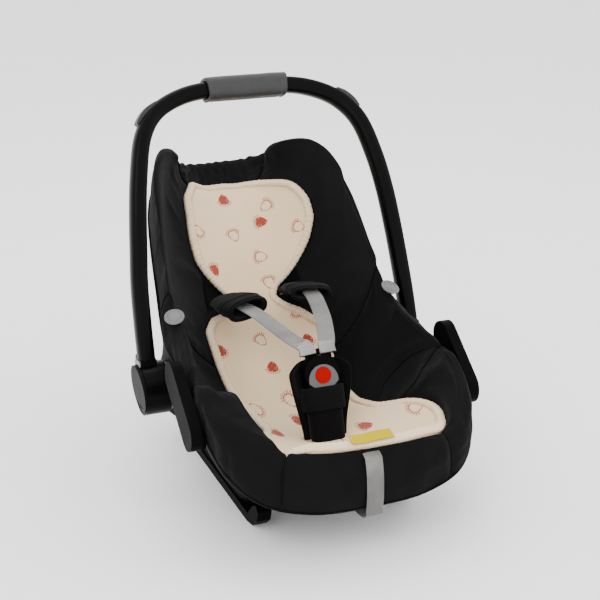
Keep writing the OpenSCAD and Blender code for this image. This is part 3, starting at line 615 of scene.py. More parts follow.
# The seat's inner cover has a coarser mesh weave of its own; its tone, darker than the other cover cloth, is
# painted shade for the deep hollow beside the liner.
COVER_SEAT_SHADED = fabric("cover_mesh_cloth_shaded", "#070707", "#0d0d0e", weave=0.0024, sheen=0.05)
PAD_CLOTH = fabric("pad_cloth", "#080809", "#0f0f10", sheen=0.06)
PIPING = fabric("piping_cloth", "#070707", "#0d0d0e", uv=False, sheen=0.05)
LINER = print_cloth("liner_print", "#e0c7a4", "#d6bb95", "#8e1f0e")
BINDING = fabric("liner_binding", "#d9c09f", "#e2ccae", weave=0.0011, sheen=0.05)
WEBBING = webbing_cloth("harness_webbing", "#1e1d1c", "#8a8885")
# A lighter copy of the same webbing for the folded strap ends: painted highlight.
WEBBING_END_LIT = webbing_cloth("harness_webbing_end_lit", "#4a4947", "#a6a4a0")
THREAD = fabric("thread", "#3a3a3c", "#4c4c4e", weave=0.0004, uv=False)
PALE_THREAD = fabric("pale_thread", "#c9bda9", "#dacfbd", weave=0.0004, uv=False)
SEAM_THREAD = fabric("seam_thread", "#7c6a52", "#8d7a60", weave=0.0004, uv=False)
TAG = fabric("tag_cloth", "#b09a00", "#baa300", weave=0.0006, sheen=0.0)
LEATHER = leather("grip_leather", "#151516", "#202021")


def dress(obj, material, body, slot, *stands_for):
    obj.data.materials.clear()
    obj.data.materials.append(material)
    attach(obj, body)
    if stands_for:
        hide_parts(*stands_for)
    return obj


# ---------- shell and skirt
def folded(name, over, under):
    """A closed bowl between two grids whose first and last rows are folded in two."""
    rows, cols = over.shape[:2]
    middle = (cols - 1) // 2
    index = np.zeros((rows, cols), int)
    points, total = [[], []], 0
    for k in range(rows):
        if k in (0, rows - 1):
            index[k] = total + abs(np.arange(cols) - middle)
            keep = range(middle, cols)
        else:
            index[k] = total + np.arange(cols)
            keep = range(cols)
        for side, grid in zip(points, (over, under)):
            side.extend(grid[k, j] for j in keep)
        total = len(points[0])
    faces = []
    for k in range(rows - 1):
        for j in range(cols - 1):
            quad = [index[k, j], index[k + 1, j], index[k + 1, j + 1], index[k, j + 1]]
            faces += [quad, [total + v for v in reversed(quad)]]
        for j in (0, cols - 1):
            a, b = index[k, j], index[k + 1, j]
            rim = [b, a, total + a, total + b]
            faces.append(rim if j == 0 else rim[::-1])
    flat = np.array(points[0])
    uv = np.vstack([flat[:, :2], np.array(points[1])[:, :2]]) * MM
    return add_mesh(name, np.vstack([flat, points[1]]), [[int(v) for v in f] for f in faces], uv)


def both_sides(section, rows):
    """Grid rows that run from the left edge through the middle line to the right edge."""
    grid = []
    for h in np.linspace(0, 1, rows + 1):
        right, left = section(h), section(h if h in (0, 1) else -h)
        left[..., 0] = -abs(left[..., 0])
        left[-1, 0] = right[-1, 0] = 0
        grid.append(np.vstack([left, right[-2::-1]]))
    return np.array(grid)


def shell_section(h, depth):
    s = np.array([-0.7, -0.8, -0.9, -0.97])
    rim = layer(h, s, cover_under(s) + LAYER_GAP + depth)
    t = np.concatenate([[0.02, 0.06], np.linspace(0.11, 1, 22)])
    wall = belly_at(h, t) - depth * normal_of(belly_at, np.full(t.shape, h), t, 0)
    lip_out = layer(h, np.array([-1.0]), np.array([0.4 + depth * 1.8])) - [0, 0, 0.6]
    return np.vstack([rim, lip_out, wall])


def on_root(obj, material, slot, *stands_for):
    return dress(obj, material, "root", slot, *stands_for)


shell = folded("shell_moulded", both_sides(lambda h: shell_section(h, SHELL_WALL), 96),
               both_sides(lambda h: shell_section(h, 0.0), 96))
on_root(shell, SHELL, "shell_plastic", "shell")

SKIRT_T = [(0, 0.96), (1, 0.85), (2, 0.72), (4, 0.55), (7, 0.6), (8.5, 0.6), (9.5, 0.75), (10, 1)]
SKIRT_MID, SKIRT_HALF_X, SKIRT_HALF_Y, SKIRT_FOOT = -26, 123, 140, 14.3


def skirt_wall(inner):
    idx = np.linspace(0, 10, 121)
    t = np.interp(idx, *zip(*SKIRT_T))
    u = idx / LAST
    top = belly_at(u, t) + 2 * normal_of(belly_at, u, t, 0)
    top = np.vstack([top, top[-2:0:-1] * FLIP])
    top = soften(top, 6, True)
    centre = np.array([0, SKIRT_MID, 0])
    if inner:
        inward = unit((centre - top) * [1, 1, 0])
        top = top + 4 * inward - [0, 0, 6]
    v = (top - centre)[:, :2]
    inset = 3 if inner else 0
    size = ((abs(v[:, 0]) / (SKIRT_HALF_X - inset)) ** 10
            + (abs(v[:, 1]) / (SKIRT_HALF_Y - inset)) ** 10) ** 0.1
    low = np.column_stack([v[:, 0] / size, SKIRT_MID + v[:, 1] / size, np.full(len(v), SKIRT_FOOT)])
    return np.array([top + (low - top) * f for f in np.linspace(0, 1, 9)])


def sleeve(name, outer, inner):
    """A closed tube wall between two sets of closed rings."""
    return tube(name, np.concatenate([outer, inner[::-1]]), closed=True)


skirt = sleeve("rocker_skirt_moulded", skirt_wall(False), skirt_wall(True))
on_root(skirt, SHELL, "shell_plastic", "rocker_skirt")

# ---------- cover
STATIONS = 42
SEAMS = {"front": 5 / STATIONS, "thigh": 14 / STATIONS, "side": 22 / STATIONS, "head": 37 / STATIONS}
# The liner's outline, station by s. It is not the same on both sides.
LINER_EDGE_RIGHT = [
    (0, 0.1), (1, 0.13), (2, 0.27), (2.6, 0.4), (3.4, 0.49), (4.4, 0.61), (5, 0.71), (5.5, 0.75),
    (6.2, 0.75), (7, 0.73), (8, 0.71), (8.7, 0.79), (9.1, 0.86), (9.4, 0.9), (9.62, 0.87), (9.72, 0.7),
    (9.77, 0.6), (9.92, 0.51), (10.3, 0.468), (10.8, 0.462), (11.1, 0.469), (11.43, 0.493),
    (11.86, 0.543), (12.29, 0.6), (12.95, 0.546), (13.65, 0.537), (14, 0.533),
]
LINER_EDGE_LEFT = [
    (0, 0.1), (1, 0.15), (2, 0.33), (2.6, 0.46), (3.4, 0.62), (4.3, 0.76), (5.1, 0.82), (5.9, 0.78),
    (6.5, 0.73), (7.2, 0.71), (8.1, 0.68), (8.6, 0.74), (9.1, 0.86), (9.5, 0.9), (9.7, 0.8), (9.9, 0.69),
    (10.4, 0.64), (11, 0.6), (11.43, 0.542), (11.9, 0.544), (12.95, 0.536), (13.65, 0.53), (14, 0.533),
]
PANEL_END, CELL = 0.8, 5.5
SEAM_DIP, PUCKER, PUCKER_STEP, SWELL_LIMIT = 2.6, 1.1, 17, 6.0
MERGE = 70  # added to the way to a join that the bolster runs on over, so no seam shows there


def liner_edge(u):
    w = wrapped(u) * LAST
    right, left = np.interp(abs(w), *zip(*LINER_EDGE_RIGHT)), np.interp(abs(w), *zip(*LINER_EDGE_LEFT))
    return np.where(w < 0, left, right)


def bump_at(u, s, idx, spot, size_idx, size_s):
    return np.exp(-((abs(u) * LAST - idx) / size_idx) ** 2 - ((s - spot) / size_s) ** 2)


def front_swell(u, s):
    """The front of the padding stands up a little under the liner's edge."""
    left = np.where(u < 0, 10, 0) * bump_at(u, s, 1.8, 0.12, 1.0, 0.16)
    return 8 * bump_at(u, s, 0, 0.14, 2.7, 0.16) + left


def cover_panel(name, node, u0, u1, material, puff, seed, gathers=None, crease=None):
    """A padded cover panel between two seams, from the hem to well under the liner."""
    part_of_bolster = puff in (bolster_puff, side_outer)
    length = np.linalg.norm(np.diff(pad_at(np.linspace(u0, u1, 60), 0.2), axis=0), axis=1).sum()
    u = np.linspace(u0, u1, int(length / CELL) + 2)[:, None]
    s = np.concatenate([np.linspace(-1, 0, 15), np.linspace(0, PANEL_END, 36)[1:]])[None, :]
    u, s = np.broadcast_arrays(u, s)
    base = pad_at(u, s)
    steps = np.linalg.norm(np.diff(base, axis=0), axis=2)
    run = np.vstack([np.zeros((1, s.shape[1])), np.cumsum(steps, 0)])
    far = run[-1] - run
    merged = MERGE * ease((s - 0.1) / 0.12)
    at_start, at_end = (abs(abs(end) - SEAMS["thigh"]) < 1e-6 for end in (u0, u1))
    seam = np.minimum(run + merged * at_start, far + merged * at_end)
    steps = np.linalg.norm(np.diff(base, axis=1), axis=2)
    down = np.hstack([np.zeros((len(base), 1)), np.cumsum(steps, 1)])
    open_air = ease((liner_edge(u) - s) / 0.1)
    hem_fade = ease((s + 1) / 0.14)
    waves = smooth_noise(s.shape, 4, seed) * 3.0
    pucks = np.sin(down * 2 * math.pi / PUCKER_STEP + waves) * np.exp(-seam / 15) * ease(seam / 6)
    fine = smooth_noise(s.shape, 7, seed + 1) * 0.8
    rise = puff(u, s) * ease(seam / 34) + PUCKER * pucks + fine
    if gathers is not None:
        rise = rise + gathers(u, s, waves)
    depth = cover_top(s) + SEAM_DIP * np.exp(-(seam / 6) ** 2)
    depth = depth - rise * open_air * hem_fade - front_swell(u, s)
    held = (np.minimum(run, far) < 0.5) | (s < -0.99) | (open_air < 0.35)
    if part_of_bolster:
        stitched = 2.4 * np.exp(-(inside_bolster(u, s) / 4.5) ** 2) * (s > 0.1)
        groove = crest_groove(u, s) + stitched
        depth = depth + groove * open_air
        held |= groove > 1.2
    if crease is not None:
        depth = depth + 1.6 * np.exp(-((s - crease) / 0.022) ** 2)
        held |= abs(s - crease) < 0.03
    top = layer(u, s, depth)
    under = layer(u, s, cover_under(s) - 0.6)
    top = settle(top, under, held, 3.0, 0.014, SWELL_LIMIT)
    obj = subdivide(slab(name, top, under))
    on_root(obj, material, "cover_fabric", node)


# The bolster's seam curves away from the straight join of the two panels: station by s.
BOLSTER_SEAM = [(0.1, 4.7), (0.14, 4.8), (0.27, 5.1), (0.39, 5.4), (0.5, 5.5), (0.61, 5.5),
                (0.7, 5.2), (0.78, 4.8)]
STATION_STEP = 26


def inside_bolster(u, s):
    """Millimetres from the bolster's curved seam, negative on the side panel."""
    return (np.interp(s, *zip(*BOLSTER_SEAM)) - abs(u) * LAST) * STATION_STEP


def crest_groove(u, s):
    """The stitched line along the top of the side and of the bolster."""
    spot = np.where(abs(u) < SEAMS["thigh"], np.where(u < 0, 0.22, 0.11), 0.08)
    return 1.6 * np.exp(-((s - spot) / 0.02) ** 2)


def bolster_puff(u, s):
    gap = inside_bolster(u, s)
    left = 42 * bump_at(u, s, 3.9, 0.31, 1.9, 0.24)
    right = 20 * bump_at(u, s, 4.0, 0.33, 1.6, 0.24)
    outer = 3 * bump_at(u, s, 3.0, -0.4, 2.0, 0.4)
    side = 5 * bump_at(u, s, 6.3, 0.35, 1.0, 0.3) * ease(-gap / 30)
    return np.where(u < 0, left, right) * np.where(s > 0.1, ease(gap / 34), 1) + outer + side


def side_outer(u, s):
    return bolster_puff(u, s) + 2 * bump_at(u, s, 5.9, -0.5, 1.5, 0.4)


def wing_puff(u, s):
    left, right = bump_at(u, s, 11.7, -0.3, 1.2, 0.45), bump_at(u, s, 12.3, 0.1, 1.0, 0.25)
    top = 9 * left * (u < 0) + 9 * right * (u > 0)
    return 6 * bump_at(u, s, 9.6, 0.12, 2.2, 0.22) + 4 * bump_at(u, s, 9.6, -0.5, 2.4, 0.4) + top


def head_puff(u, s):
    return 3 * np.exp(-((s - 0.1) / 0.3) ** 2)


def front_puff(u, s):
    return 3 * np.exp(-((s + 0.55) / 0.25) ** 2) + 1.5 * np.exp(-((s - 0.05) / 0.1) ** 2)


def head_gathers(u, s, waves):
    """Pleats that run down from the head panel's top seam."""
    x = pad_at(u, s)[..., 0]
    return 2.6 * np.sin(x * 2 * math.pi / 15 + 0.6 * waves) * ease((s + 0.25) / 0.2)


for side, sign in SIDES:
    for part, low, high, material, puff, seed in (
        ("thigh_bolster", "front", "thigh", COVER, bolster_puff, 3),
        ("side_panel", "thigh", "side", COVER, side_outer, 5),
        ("head_wing", "side", "head", COVER_HEAD, wing_puff, 9),
    ):
        ends = sorted((sign * SEAMS[low], sign * SEAMS[high]))
        cover_panel(f"{part}_{side}_padded", f"{part}_{side}", *ends, material, puff, seed + 20 * (sign > 0))
cover_panel("head_panel_padded", "head_panel", SEAMS["head"], 2 - SEAMS["head"], COVER_HEAD,
            head_puff, 31, gathers=head_gathers)
cover_panel("front_panel_padded", "front_panel", -SEAMS["front"], SEAMS["front"], COVER,
            front_puff, 37, crease=-0.17)


def seat_section(h, under):
    s = np.linspace(PANEL_END - 0.06, 1, 14)
    return layer(h, s, cover_under(s) if under else cover_top(s) + 0.9)


seat = folded("seat_cover_padded", both_sides(lambda h: seat_section(h, False), 84),
              both_sides(lambda h: seat_section(h, True), 84))
on_root(seat, COVER_SEAT_SHADED, "cover_fabric", "seat_cover")


def piped(name, line, radius, closed=False):
    """A round cord in piping cloth, on the root."""
    on_root(cord_round(name, line, radius, closed), PIPING, "cover_fabric")


u = np.linspace(-1, 1, 600, endpoint=False)
hem_line = layer(u, np.full(u.shape, -0.975), np.full(u.shape, 0.4))
piped("hem_piping", spaced(hem_line, 6.0, True), 2.1, True)
for side, sign in SIDES:
    for seam_name in ("front", "thigh", "side", "head"):
        s = np.linspace(-0.95, 0.72, 70)
        u = np.full(s.shape, sign * SEAMS[seam_name])
        keep = s < (0.14 if seam_name == "thigh" else liner_edge(u) + 0.03)
        line = layer(u, s, cover_top(s) + 2.1)[keep]
        piped(f"seam_cord_{seam_name}_{side}", spaced(line, 5), 1.0)
    share, knots = np.linspace(0, 1, 60), np.linspace(0, 1, len(BOLSTER_SEAM))
    s, u = (np.interp(share, knots, v) for v in zip(*BOLSTER_SEAM))
    u = u * sign / LAST
    keep = s < liner_edge(u) + 0.02
    line = soften(spaced(layer(u, s, cover_top(s) + 1.6)[keep], 5), 4)
    piped(f"bolster_seam_cord_{side}", line, 0.9)

# ---------- liner
LINER_ROWS, LINER_CELLS = 100, 26
BAND = 6.5


def liner_section(h, under):
    edge = float(liner_edge(np.array([h]))[0])
    s = edge + (1 - edge) * np.linspace(0, 1, LINER_CELLS + 1) ** 1.15
    seat_side = cover_top(s) - LAYER_GAP
    if under:
        return layer(h, s, seat_side - front_swell(h, s))
    away = walked(layer(h, s, seat_side))
    full = 0.5 + 0.5 * ease(away / 11) - 0.2 * np.exp(-((away - 11) / 2.2) ** 2)
    return layer(h, s, seat_side - LINER_PAD * full - front_swell(h, s))


# Where the berries are printed: station and s on the cloth, a turn in degrees, 1 for a filled one.
BERRIES = [
    (-13.7, 0.71, 180, 1), (11.6, 0.70, -60, 0), (11.4, 0.79, 80, 1), (-11.8, 0.97, 15, 0),
    (-10.9, 0.70, -150, 0), (10.1, 0.61, 60, 0), (-10, 0.80, 20, 1), (10.5, 0.89, 80, 0),
    (9.8, 0.90, 0, 0), (8.7, 0.81, 180, 0), (7.9, 0.81, 180, 1),
    (-7.8, 0.75, -150, 1), (-7.5, 0.99, 170, 1), (6.3, 0.99, 20, 0), (-6, 0.83, -130, 0),
    (-4.7, 0.85, 30, 1), (2.3, 0.99, -70, 0), (4, 0.84, 80, 1), (3.7, 0.59, 90, 0),
    (-8.3, 0.98, 30, 0), (6.8, 0.83, -60, 0), (6, 0.77, 130, 1), (-5.4, 0.98, -30, 1),
    (5.3, 0.87, 40, 0), (-3.9, 0.95, 140, 0), (-9.5, 0.96, -40, 1),
]
BERRY_HALF = 10.2


def add_print(obj):
    """Gives each face of the liner the plane of its nearest berry, square to the cloth there."""
    mesh = obj.data
    marks = np.array(BERRIES, float)
    centre, normal = np.zeros(len(mesh.polygons) * 3), np.zeros(len(mesh.polygons) * 3)
    mesh.polygons.foreach_get("center", centre)
    mesh.polygons.foreach_get("normal", normal)
    centre, normal = centre.reshape(-1, 3) / MM, normal.reshape(-1, 3)
    printed = layer(marks[:, 0] / LAST, marks[:, 1], cover_top(marks[:, 1]) - LAYER_GAP - LINER_PAD)
    facing_up = np.where(normal[:, 2] > 0, 0, 1e6)
    spot = [int((np.linalg.norm(centre - place, axis=1) + facing_up).argmin()) for place in printed]
    middle, up = centre[spot], normal[spot]
    across = unit(np.array([1.0, 0, 0]) - up * up[:, :1])
    ahead = np.cross(up, across)
    long = np.where(abs(marks[:, 0]) < 6.6, 1.7, 1.0)  # the print on the seat is drawn longer
    near = np.linalg.norm(centre[:, None] - middle[None], axis=2).argmin(1)
    plane, kind = np.zeros((len(mesh.loops), 2)), np.zeros((len(mesh.loops), 2))
    for polygon in mesh.polygons:
        berry = near[polygon.index]
        turn, filled = marks[berry, 2:]
        c, s = math.cos(math.radians(turn)), math.sin(math.radians(turn))
        for loop in polygon.loop_indices:
            p = np.array(mesh.vertices[mesh.loops[loop].vertex_index].co) / MM - middle[berry]
            a, b = p @ across[berry] / BERRY_HALF, p @ ahead[berry] / BERRY_HALF / long[berry]
            plane[loop] = c * a + s * b, c * b - s * a
            kind[loop] = filled, 0
    mesh.uv_layers.new(name="Berry").data.foreach_set("uv", plane.ravel())
    mesh.uv_layers.new(name="Kind").data.foreach_set("uv", kind.ravel())


liner = folded("comfort_liner_padded", both_sides(lambda h: liner_section(h, False), LINER_ROWS),
               both_sides(lambda h: liner_section(h, True), LINER_ROWS))
add_print(liner)
on_root(liner, LINER, "liner_fabric", "comfort_liner")

u = np.linspace(-1, 1, 2800, endpoint=False)
edge = liner_edge(u)
edge_line = layer(u, edge, cover_top(edge) - LAYER_GAP - 0.5 * LINER_PAD - front_swell(u, edge))
edge_line = soften(spaced(edge_line, 1.6, True), 14, True)
forward = directions(edge_line, True)
level = np.array([0, -0.55, 0.83])
inside = unit(np.cross(level, forward))
inside *= np.sign((inside * (np.array([0, -40, 160]) - edge_line)).sum(1).mean())
raised = unit(np.cross(forward, inside))
raised *= np.sign((raised * level).sum(1, keepdims=True))
run = np.arange(len(edge_line)) * 1.6
gather = 1 + 0.09 * np.sin(run * 2 * math.pi / 5.4) + 0.06 * np.sin(run * 2 * math.pi / 8.7 + 1)
rings = [oval(p + 3.2 * a, a, b, BAND * g, 0.56 * LINER_PAD * g, 14, 0.8)
         for p, a, b, g in zip(edge_line, inside, raised, gather)]
binding = tube("liner_binding_band", rings, True)
on_root(subdivide(binding), BINDING, "liner_fabric")


STITCH_STEP, THREAD_SIDES = 0.8, 6


def stitches(name, line, up, body, thread, length, gap, radius):
    """A row of thread stitches along a line; up lifts them clear of the cloth."""
    line, up, n = spaced(line, STITCH_STEP), np.asarray(up), THREAD_SIDES
    step, take = int((length + gap) / STITCH_STEP), max(2, int(length / STITCH_STEP))
    points, faces = [], []
    for start in range(0, len(line) - take - 1, step):
        piece = line[start:start + take + 1]
        ahead = unit(piece[-1] - piece[0])
        side = unit(np.cross(ahead, up))
        for k, p in enumerate(piece):
            swell = math.sin(math.pi * (k + 0.35) / (take + 0.7))
            half = radius * (0.5 + swell * 0.5)
            points.extend(oval(p + up * 0.25 * swell, side, up, half, half, n))
        base = len(points) - n * (take + 1)
        for k in range(take):
            low = base + n * k
            for i in range(n):
                j = (i + 1) % n
                faces.append([low + i, low + j, low + n + j, low + n + i])
        faces.append([base + i for i in range(n - 1, -1, -1)])
        faces.append([base + n * take + i for i in range(n)])
    return dress(add_mesh(name, points, faces), thread, body, "cover_fabric")


stitches("binding_stitches", edge_line + inside * 8.4 + raised * 3.1, unit(level), "root",
         SEAM_THREAD, 2.2, 1.8, 0.4)

# ---------- tag and studs
tag_low, tag_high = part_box("liner_tag")
tag_middle = np.array((tag_low + tag_high) / 2) / MM + [2, -4.2, 8.6]
a, b = np.meshgrid(np.linspace(-31, 31, 30), np.linspace(-8.5, 8.5, 9), indexing="ij")
tilt, turn = math.radians(17), math.radians(2)
lift = 0.5 * np.sin(a / 8) * (abs(b) / 8.5) ** 2
flat = np.stack([a * math.cos(turn) - b * math.sin(turn), (a * math.sin(turn) + b) * math.cos(tilt),
                 b * math.sin(tilt) + lift], -1)
up = np.array([0, -math.sin(tilt), math.cos(tilt)])
tag = slab("liner_tag_sewn", tag_middle + flat + 0.45 * up, tag_middle + flat - 0.45 * up)
on_root(tag, TAG, "tag_fabric", "liner_tag")
for name, x in (("inner", -29), ("outer", 29)):
    ends = [tag_middle + np.array([x, y * math.cos(tilt), y * math.sin(tilt)]) + 0.6 * up for y in (-7, 7)]
    stitches(f"tag_stitches_{name}", np.array(ends), up, "root", PALE_THREAD, 2.0, 1.0, 0.25)

STUD_SPOT, STUD_TILT, STUD_TURN = np.array([174.3, -8.6, 259.6]), math.radians(28), math.radians(-64)
STUD_PROFILE = [(0.1, 0), (11.8, 0), (12.0, 3.0), (14.2, 3.2), (15, 3.8), (14.9, 4.6), (13.6, 5.5),
                (11.6, 6.0), (11.2, 5.5), (10.3, 5.5), (9.9, 6.3), (7, 7.1), (3.5, 7.5), (0.1, 7.6)]
for side, sign in SIDES:
    lean = math.sin(STUD_TILT)
    axis = np.array([sign * lean * math.cos(STUD_TURN), lean * math.sin(STUD_TURN), math.cos(STUD_TILT)])
    stud = lathe(f"canopy_stud_{side}_turned", STUD_PROFILE, STUD_SPOT * [sign, 1, 1], axis)
    on_root(stud, STUD, "stud_plastic", f"canopy_stud_{side}")

# ---------- harness
STRAPS = {
    "right": [(52, 118, 228), (57, 90, 246), (56, 55, 257), (52, 20, 263), (46, -20, 262), (36, -70, 252),
              (24, -110, 240), (15, -131, 235.5), (14.5, -139.5, 227.6)],
    "left": [(-56, 118, 228), (-62, 90, 240), (-60, 55, 247), (-56, 20, 252), (-50, -20, 254),
             (-40, -70, 249), (-30, -110, 243), (-18, -131, 237), (-16.5, -139.5, 228)],
}
WEB_WIDTH, WEB_THICK = 25, 1.8
# Each shoulder pad's tilt, half thickness at the back, how much it grows, and its seed.
SHOULDER_PADS = {"left": (0.15, 8, 7, 51), "right": (-0.1, 7, 5, 57)}


for side, points in STRAPS.items():
    line = spline(points, 90)
    h = np.linspace(0, 1, 90)
    wide = np.stack([1 + 0 * h, 0.15 * (1 - h), 0.1 + 0 * h], -1)
    strap = ribbon(f"shoulder_strap_{side}_woven", line, wide, WEB_WIDTH, WEB_THICK)
    on_root(strap, WEBBING, "webbing", f"shoulder_strap_{side}")
    # The end is folded back through the tongue and sewn down.
    _, across, over = swept_frame(line, wide)
    over *= np.sign(over[:, 2:].mean())
    fold = (line + over * (WEB_THICK * 0.95))[-16:]
    end = ribbon(f"strap_end_{side}_sewn", fold, across[-16:], WEB_WIDTH - 1, WEB_THICK)
    # the folded end's lighter webbing is a painted highlight
    dress(end, WEBBING_END_LIT, "root", "webbing")
    for number, along_fold in enumerate((0.05, 0.3)):
        spot = fold[int(along_fold * 13)] + over[-1] * 1.1
        bar = np.array([spot - across[-1] * 10.5, spot + across[-1] * 10.5])
        stitches(f"strap_stitches_{side}_{number}", bar, over[-1], "root", PALE_THREAD, 2.2, 0.9, 0.3)

    # A hood-shaped pad wraps the strap at the shoulder.
    hs = np.linspace(0.05, 0.43, 26)
    middle = np.stack([np.interp(hs, h, line[:, i]) for i in range(3)], -1)
    tilt, half_back, growth, seed = SHOULDER_PADS[side]
    wide = unit(np.array([[1, 0.1, tilt]] * len(hs)))
    _, across, over = swept_frame(middle, wide)
    f = (hs - hs[0]) / (hs[-1] - hs[0])
    half_w = 23 + 12 * ease(f * 1.4) - 3 * ease((f - 0.8) / 0.2)
    half_t = half_back + growth * ease(f)
    swell = smooth_noise((26, 28), 4, seed)
    outer = [oval(p, a, b, w + n.mean(), t, 28, 0.8) + b * n[:, None] * 1.2
             for p, a, b, w, t, n in zip(middle, across, over, half_w, half_t, swell)]
    inner = [oval(p, a, b, w - 4.5, max(t - 3.6, 3.0), 28, 0.8)
             for p, a, b, w, t in zip(middle, across, over, half_w, half_t)][8:]
    lip = [0.5 * (outer[-1] + inner[-1]) + unit(middle[-1] - middle[-2]) * 2.2]
    pad = tube(f"shoulder_pad_{side}_soft", np.array(outer + lip + inner[::-1]))
    on_root(subdivide(pad), PAD_CLOTH, "cover_fabric", f"shoulder_pad_{side}")
    piped(f"pad_piping_{side}", spaced(outer[-2] + over[-1] * 0.3, 3, True), 1.5, True)
    piped(f"pad_seam_{side}", spaced(outer[-7], 3, True), 0.8, True)

CROTCH_Y, CROTCH_Z, CROTCH_LEAN = -180, 104, math.radians(20)


def at_crotch(points):
    """Points on the crotch strap's own frame: its third axis runs up the strap."""
    p = np.asarray(points, float)
    c, s = math.cos(CROTCH_LEAN), math.sin(CROTCH_LEAN)
    return np.stack([p[..., 0], CROTCH_Y + c * p[..., 1] + s * p[..., 2],
                     CROTCH_Z - s * p[..., 1] + c * p[..., 2]], -1)


strap = ribbon("crotch_strap_woven", at_crotch([(0, 0, z) for z in np.linspace(0.5, 66, 16)]),
               np.array([[1.0, 0, 0]] * 16), WEB_WIDTH, 2)
on_root(strap, WEBBING, "webbing", "crotch_strap")

# The pad behind the buckle, with sides that curl forward round it.
a, b = np.meshgrid(np.linspace(-1, 1, 29), np.linspace(0, 1, 33), indexing="ij")
reach = 30 + 15 * ease(b * 1.15) - 10 * np.clip((b - 0.86) / 0.14, 0, 1) ** 2
curl = 15 * abs(a) ** 3.2 * (0.35 + 0.65 * ease(b * 1.3))
ripple = smooth_noise(a.shape, 5, 71) * 0.9
high = 2 + 120 * b - 6 * a ** 2 * ease((b - 0.7) / 0.3)
front = np.stack([reach * a, 13.2 - curl + ripple, high], -1)
rear = np.stack([reach * a * 1.06, 20.5 - 1.2 * curl + ripple * 1.3, high + 0.6 * ease(b)], -1)
crotch = slab("crotch_pad_soft", at_crotch(front), at_crotch(rear))
on_root(subdivide(crotch), PAD_CLOTH, "cover_fabric", "crotch_pad")
edge = np.concatenate([front[0], front[:, -1][1:], front[-1][::-1][1:]])
edge_back = np.concatenate([rear[0], rear[:, -1][1:], rear[-1][::-1][1:]])
piped("crotch_pad_piping", spaced(at_crotch((edge + edge_back) / 2), 4), 2.0)

# The sleeve under the buckle and the elastic band across its lower half.
levels = np.linspace(3, 70, 16)
pleat = smooth_noise((16, 32), 4, 77)
outside = [oval((0, 1.5, z), (1, 0, 0), (0, 1, 0), 25 + 0.05 * z + n.mean(), 12.2, 32, 0.7)
           + np.array([0, 1, 0]) * n[:, None] * 0.9 for z, n in zip(levels, pleat)]
hollow = [oval((0, 1.5, z), (1, 0, 0), (0, 1, 0), 22.5 + 0.05 * z, 10.2, 32, 0.7) for z in levels]
pouch = tube("crotch_sleeve_soft", at_crotch(np.array(outside + hollow[::-1])), True)
on_root(subdivide(pouch), PAD_CLOTH, "cover_fabric")
band_rings = []
for t in circle(72):
    c, s = math.cos(t), math.sin(t)
    spot = np.array([31 * math.copysign(abs(c) ** 0.6, c), 3 + 16.5 * math.copysign(abs(s) ** 0.6, s), 66])
    out = unit(np.array([c, s * 1.6, 0]))
    band_rings.append(oval(spot, out, np.array([0, 0, 1.0]), 1.1, 17, 16, 0.5))
band = tube("crotch_elastic_band", at_crotch(np.array(band_rings)), True)
on_root(band, fabric("elastic_cloth", "#0c0c0d", "#131314", weave=0.0018, sheen=0.04), "cover_fabric")

# The free end of the harness adjuster strap, over the front edge.
front_s = np.linspace(0.1, -1, 10)
front_line = layer(np.zeros(10), front_s, np.full(10, -5.5))[2:]
line = np.vstack([[(0, -303, 121), (0, -308, 136), (0, -310.5, 149), (0, -315, 154.5)], front_line,
                  [(0, -334, 68), (0, -322, 60), (0, -292, 57), (0, -262, 56)]])
line = spline(line, 110)
on_root(ribbon("adjuster_strap_woven", line, np.array([[1.0, 0, 0]] * 110), WEB_WIDTH, WEB_THICK),
        WEBBING, "webbing", "adjuster_strap")

# ---------- handle
HANDLE_LINE = [(216, 2, 190), (215, 19, 240), (212, 41, 300), (207, 56, 350), (201, 73, 400), (192, 94, 450),
               (177, 120, 500), (152, 142, 530), (115, 155, 548), (69, 161, 557), (0, 162, 558)]
BAR_WIDTH, BAR_DEPTH, NECK_TOP = 24, 31, 200.3
whole = spline(HANDLE_LINE + [(-x, y, z) for x, y, z in HANDLE_LINE[-2::-1]], 400)
forward = directions(whole)
radial = unit(np.stack([0 * whole[:, 0], whole[:, 1], whole[:, 2] - PIVOT_Z], -1))
across = np.stack([0 * radial[:, 0], radial[:, 2], -radial[:, 1]], -1)
fore = unit(across - forward * (across * forward).sum(-1, keepdims=True))
thick = np.cross(fore, forward)


def bar_ring(i, extra, ridge=0.045):
    """The handle's section: a rounded oblong with a shallow ridge along its outer face."""
    t = circle(48)
    c, s = np.cos(t), np.sin(t)
    a = np.sign(c) * abs(c) ** 0.6 * (1 + ridge * np.exp(-(s / 0.34) ** 2))
    b = np.sign(s) * abs(s) ** 0.6
    return (whole[i] + np.outer(a * (BAR_WIDTH / 2 + extra), thick[i])
            - np.outer(b * (BAR_DEPTH / 2 + extra), fore[i]))


rings = [bar_ring(i, 0) for i in range(len(whole)) if whole[i, 2] > NECK_TOP - 12]
for i, ring in enumerate(rings):  # both ends are cut level on the hubs' necks
    under = ring[:, 2] < NECK_TOP
    run_up = forward[(len(whole) - len(rings)) // 2] if i < len(rings) / 2 else -forward[-1]
    ring[under] += run_up * ((NECK_TOP - ring[under, 2]) / abs(run_up[2]))[:, None]
bar = tube("handle_bar_moulded", rings)

BUTTON_CENTRE = np.array([157, 139, 526.0])
BUTTON_OUT = unit(np.array([0.67, 0.25, 0.7]))
BUTTON_ALONG = unit(np.cross([0, 0.936, -0.35], BUTTON_OUT))
BUTTON_FORE = np.cross(BUTTON_OUT, BUTTON_ALONG)


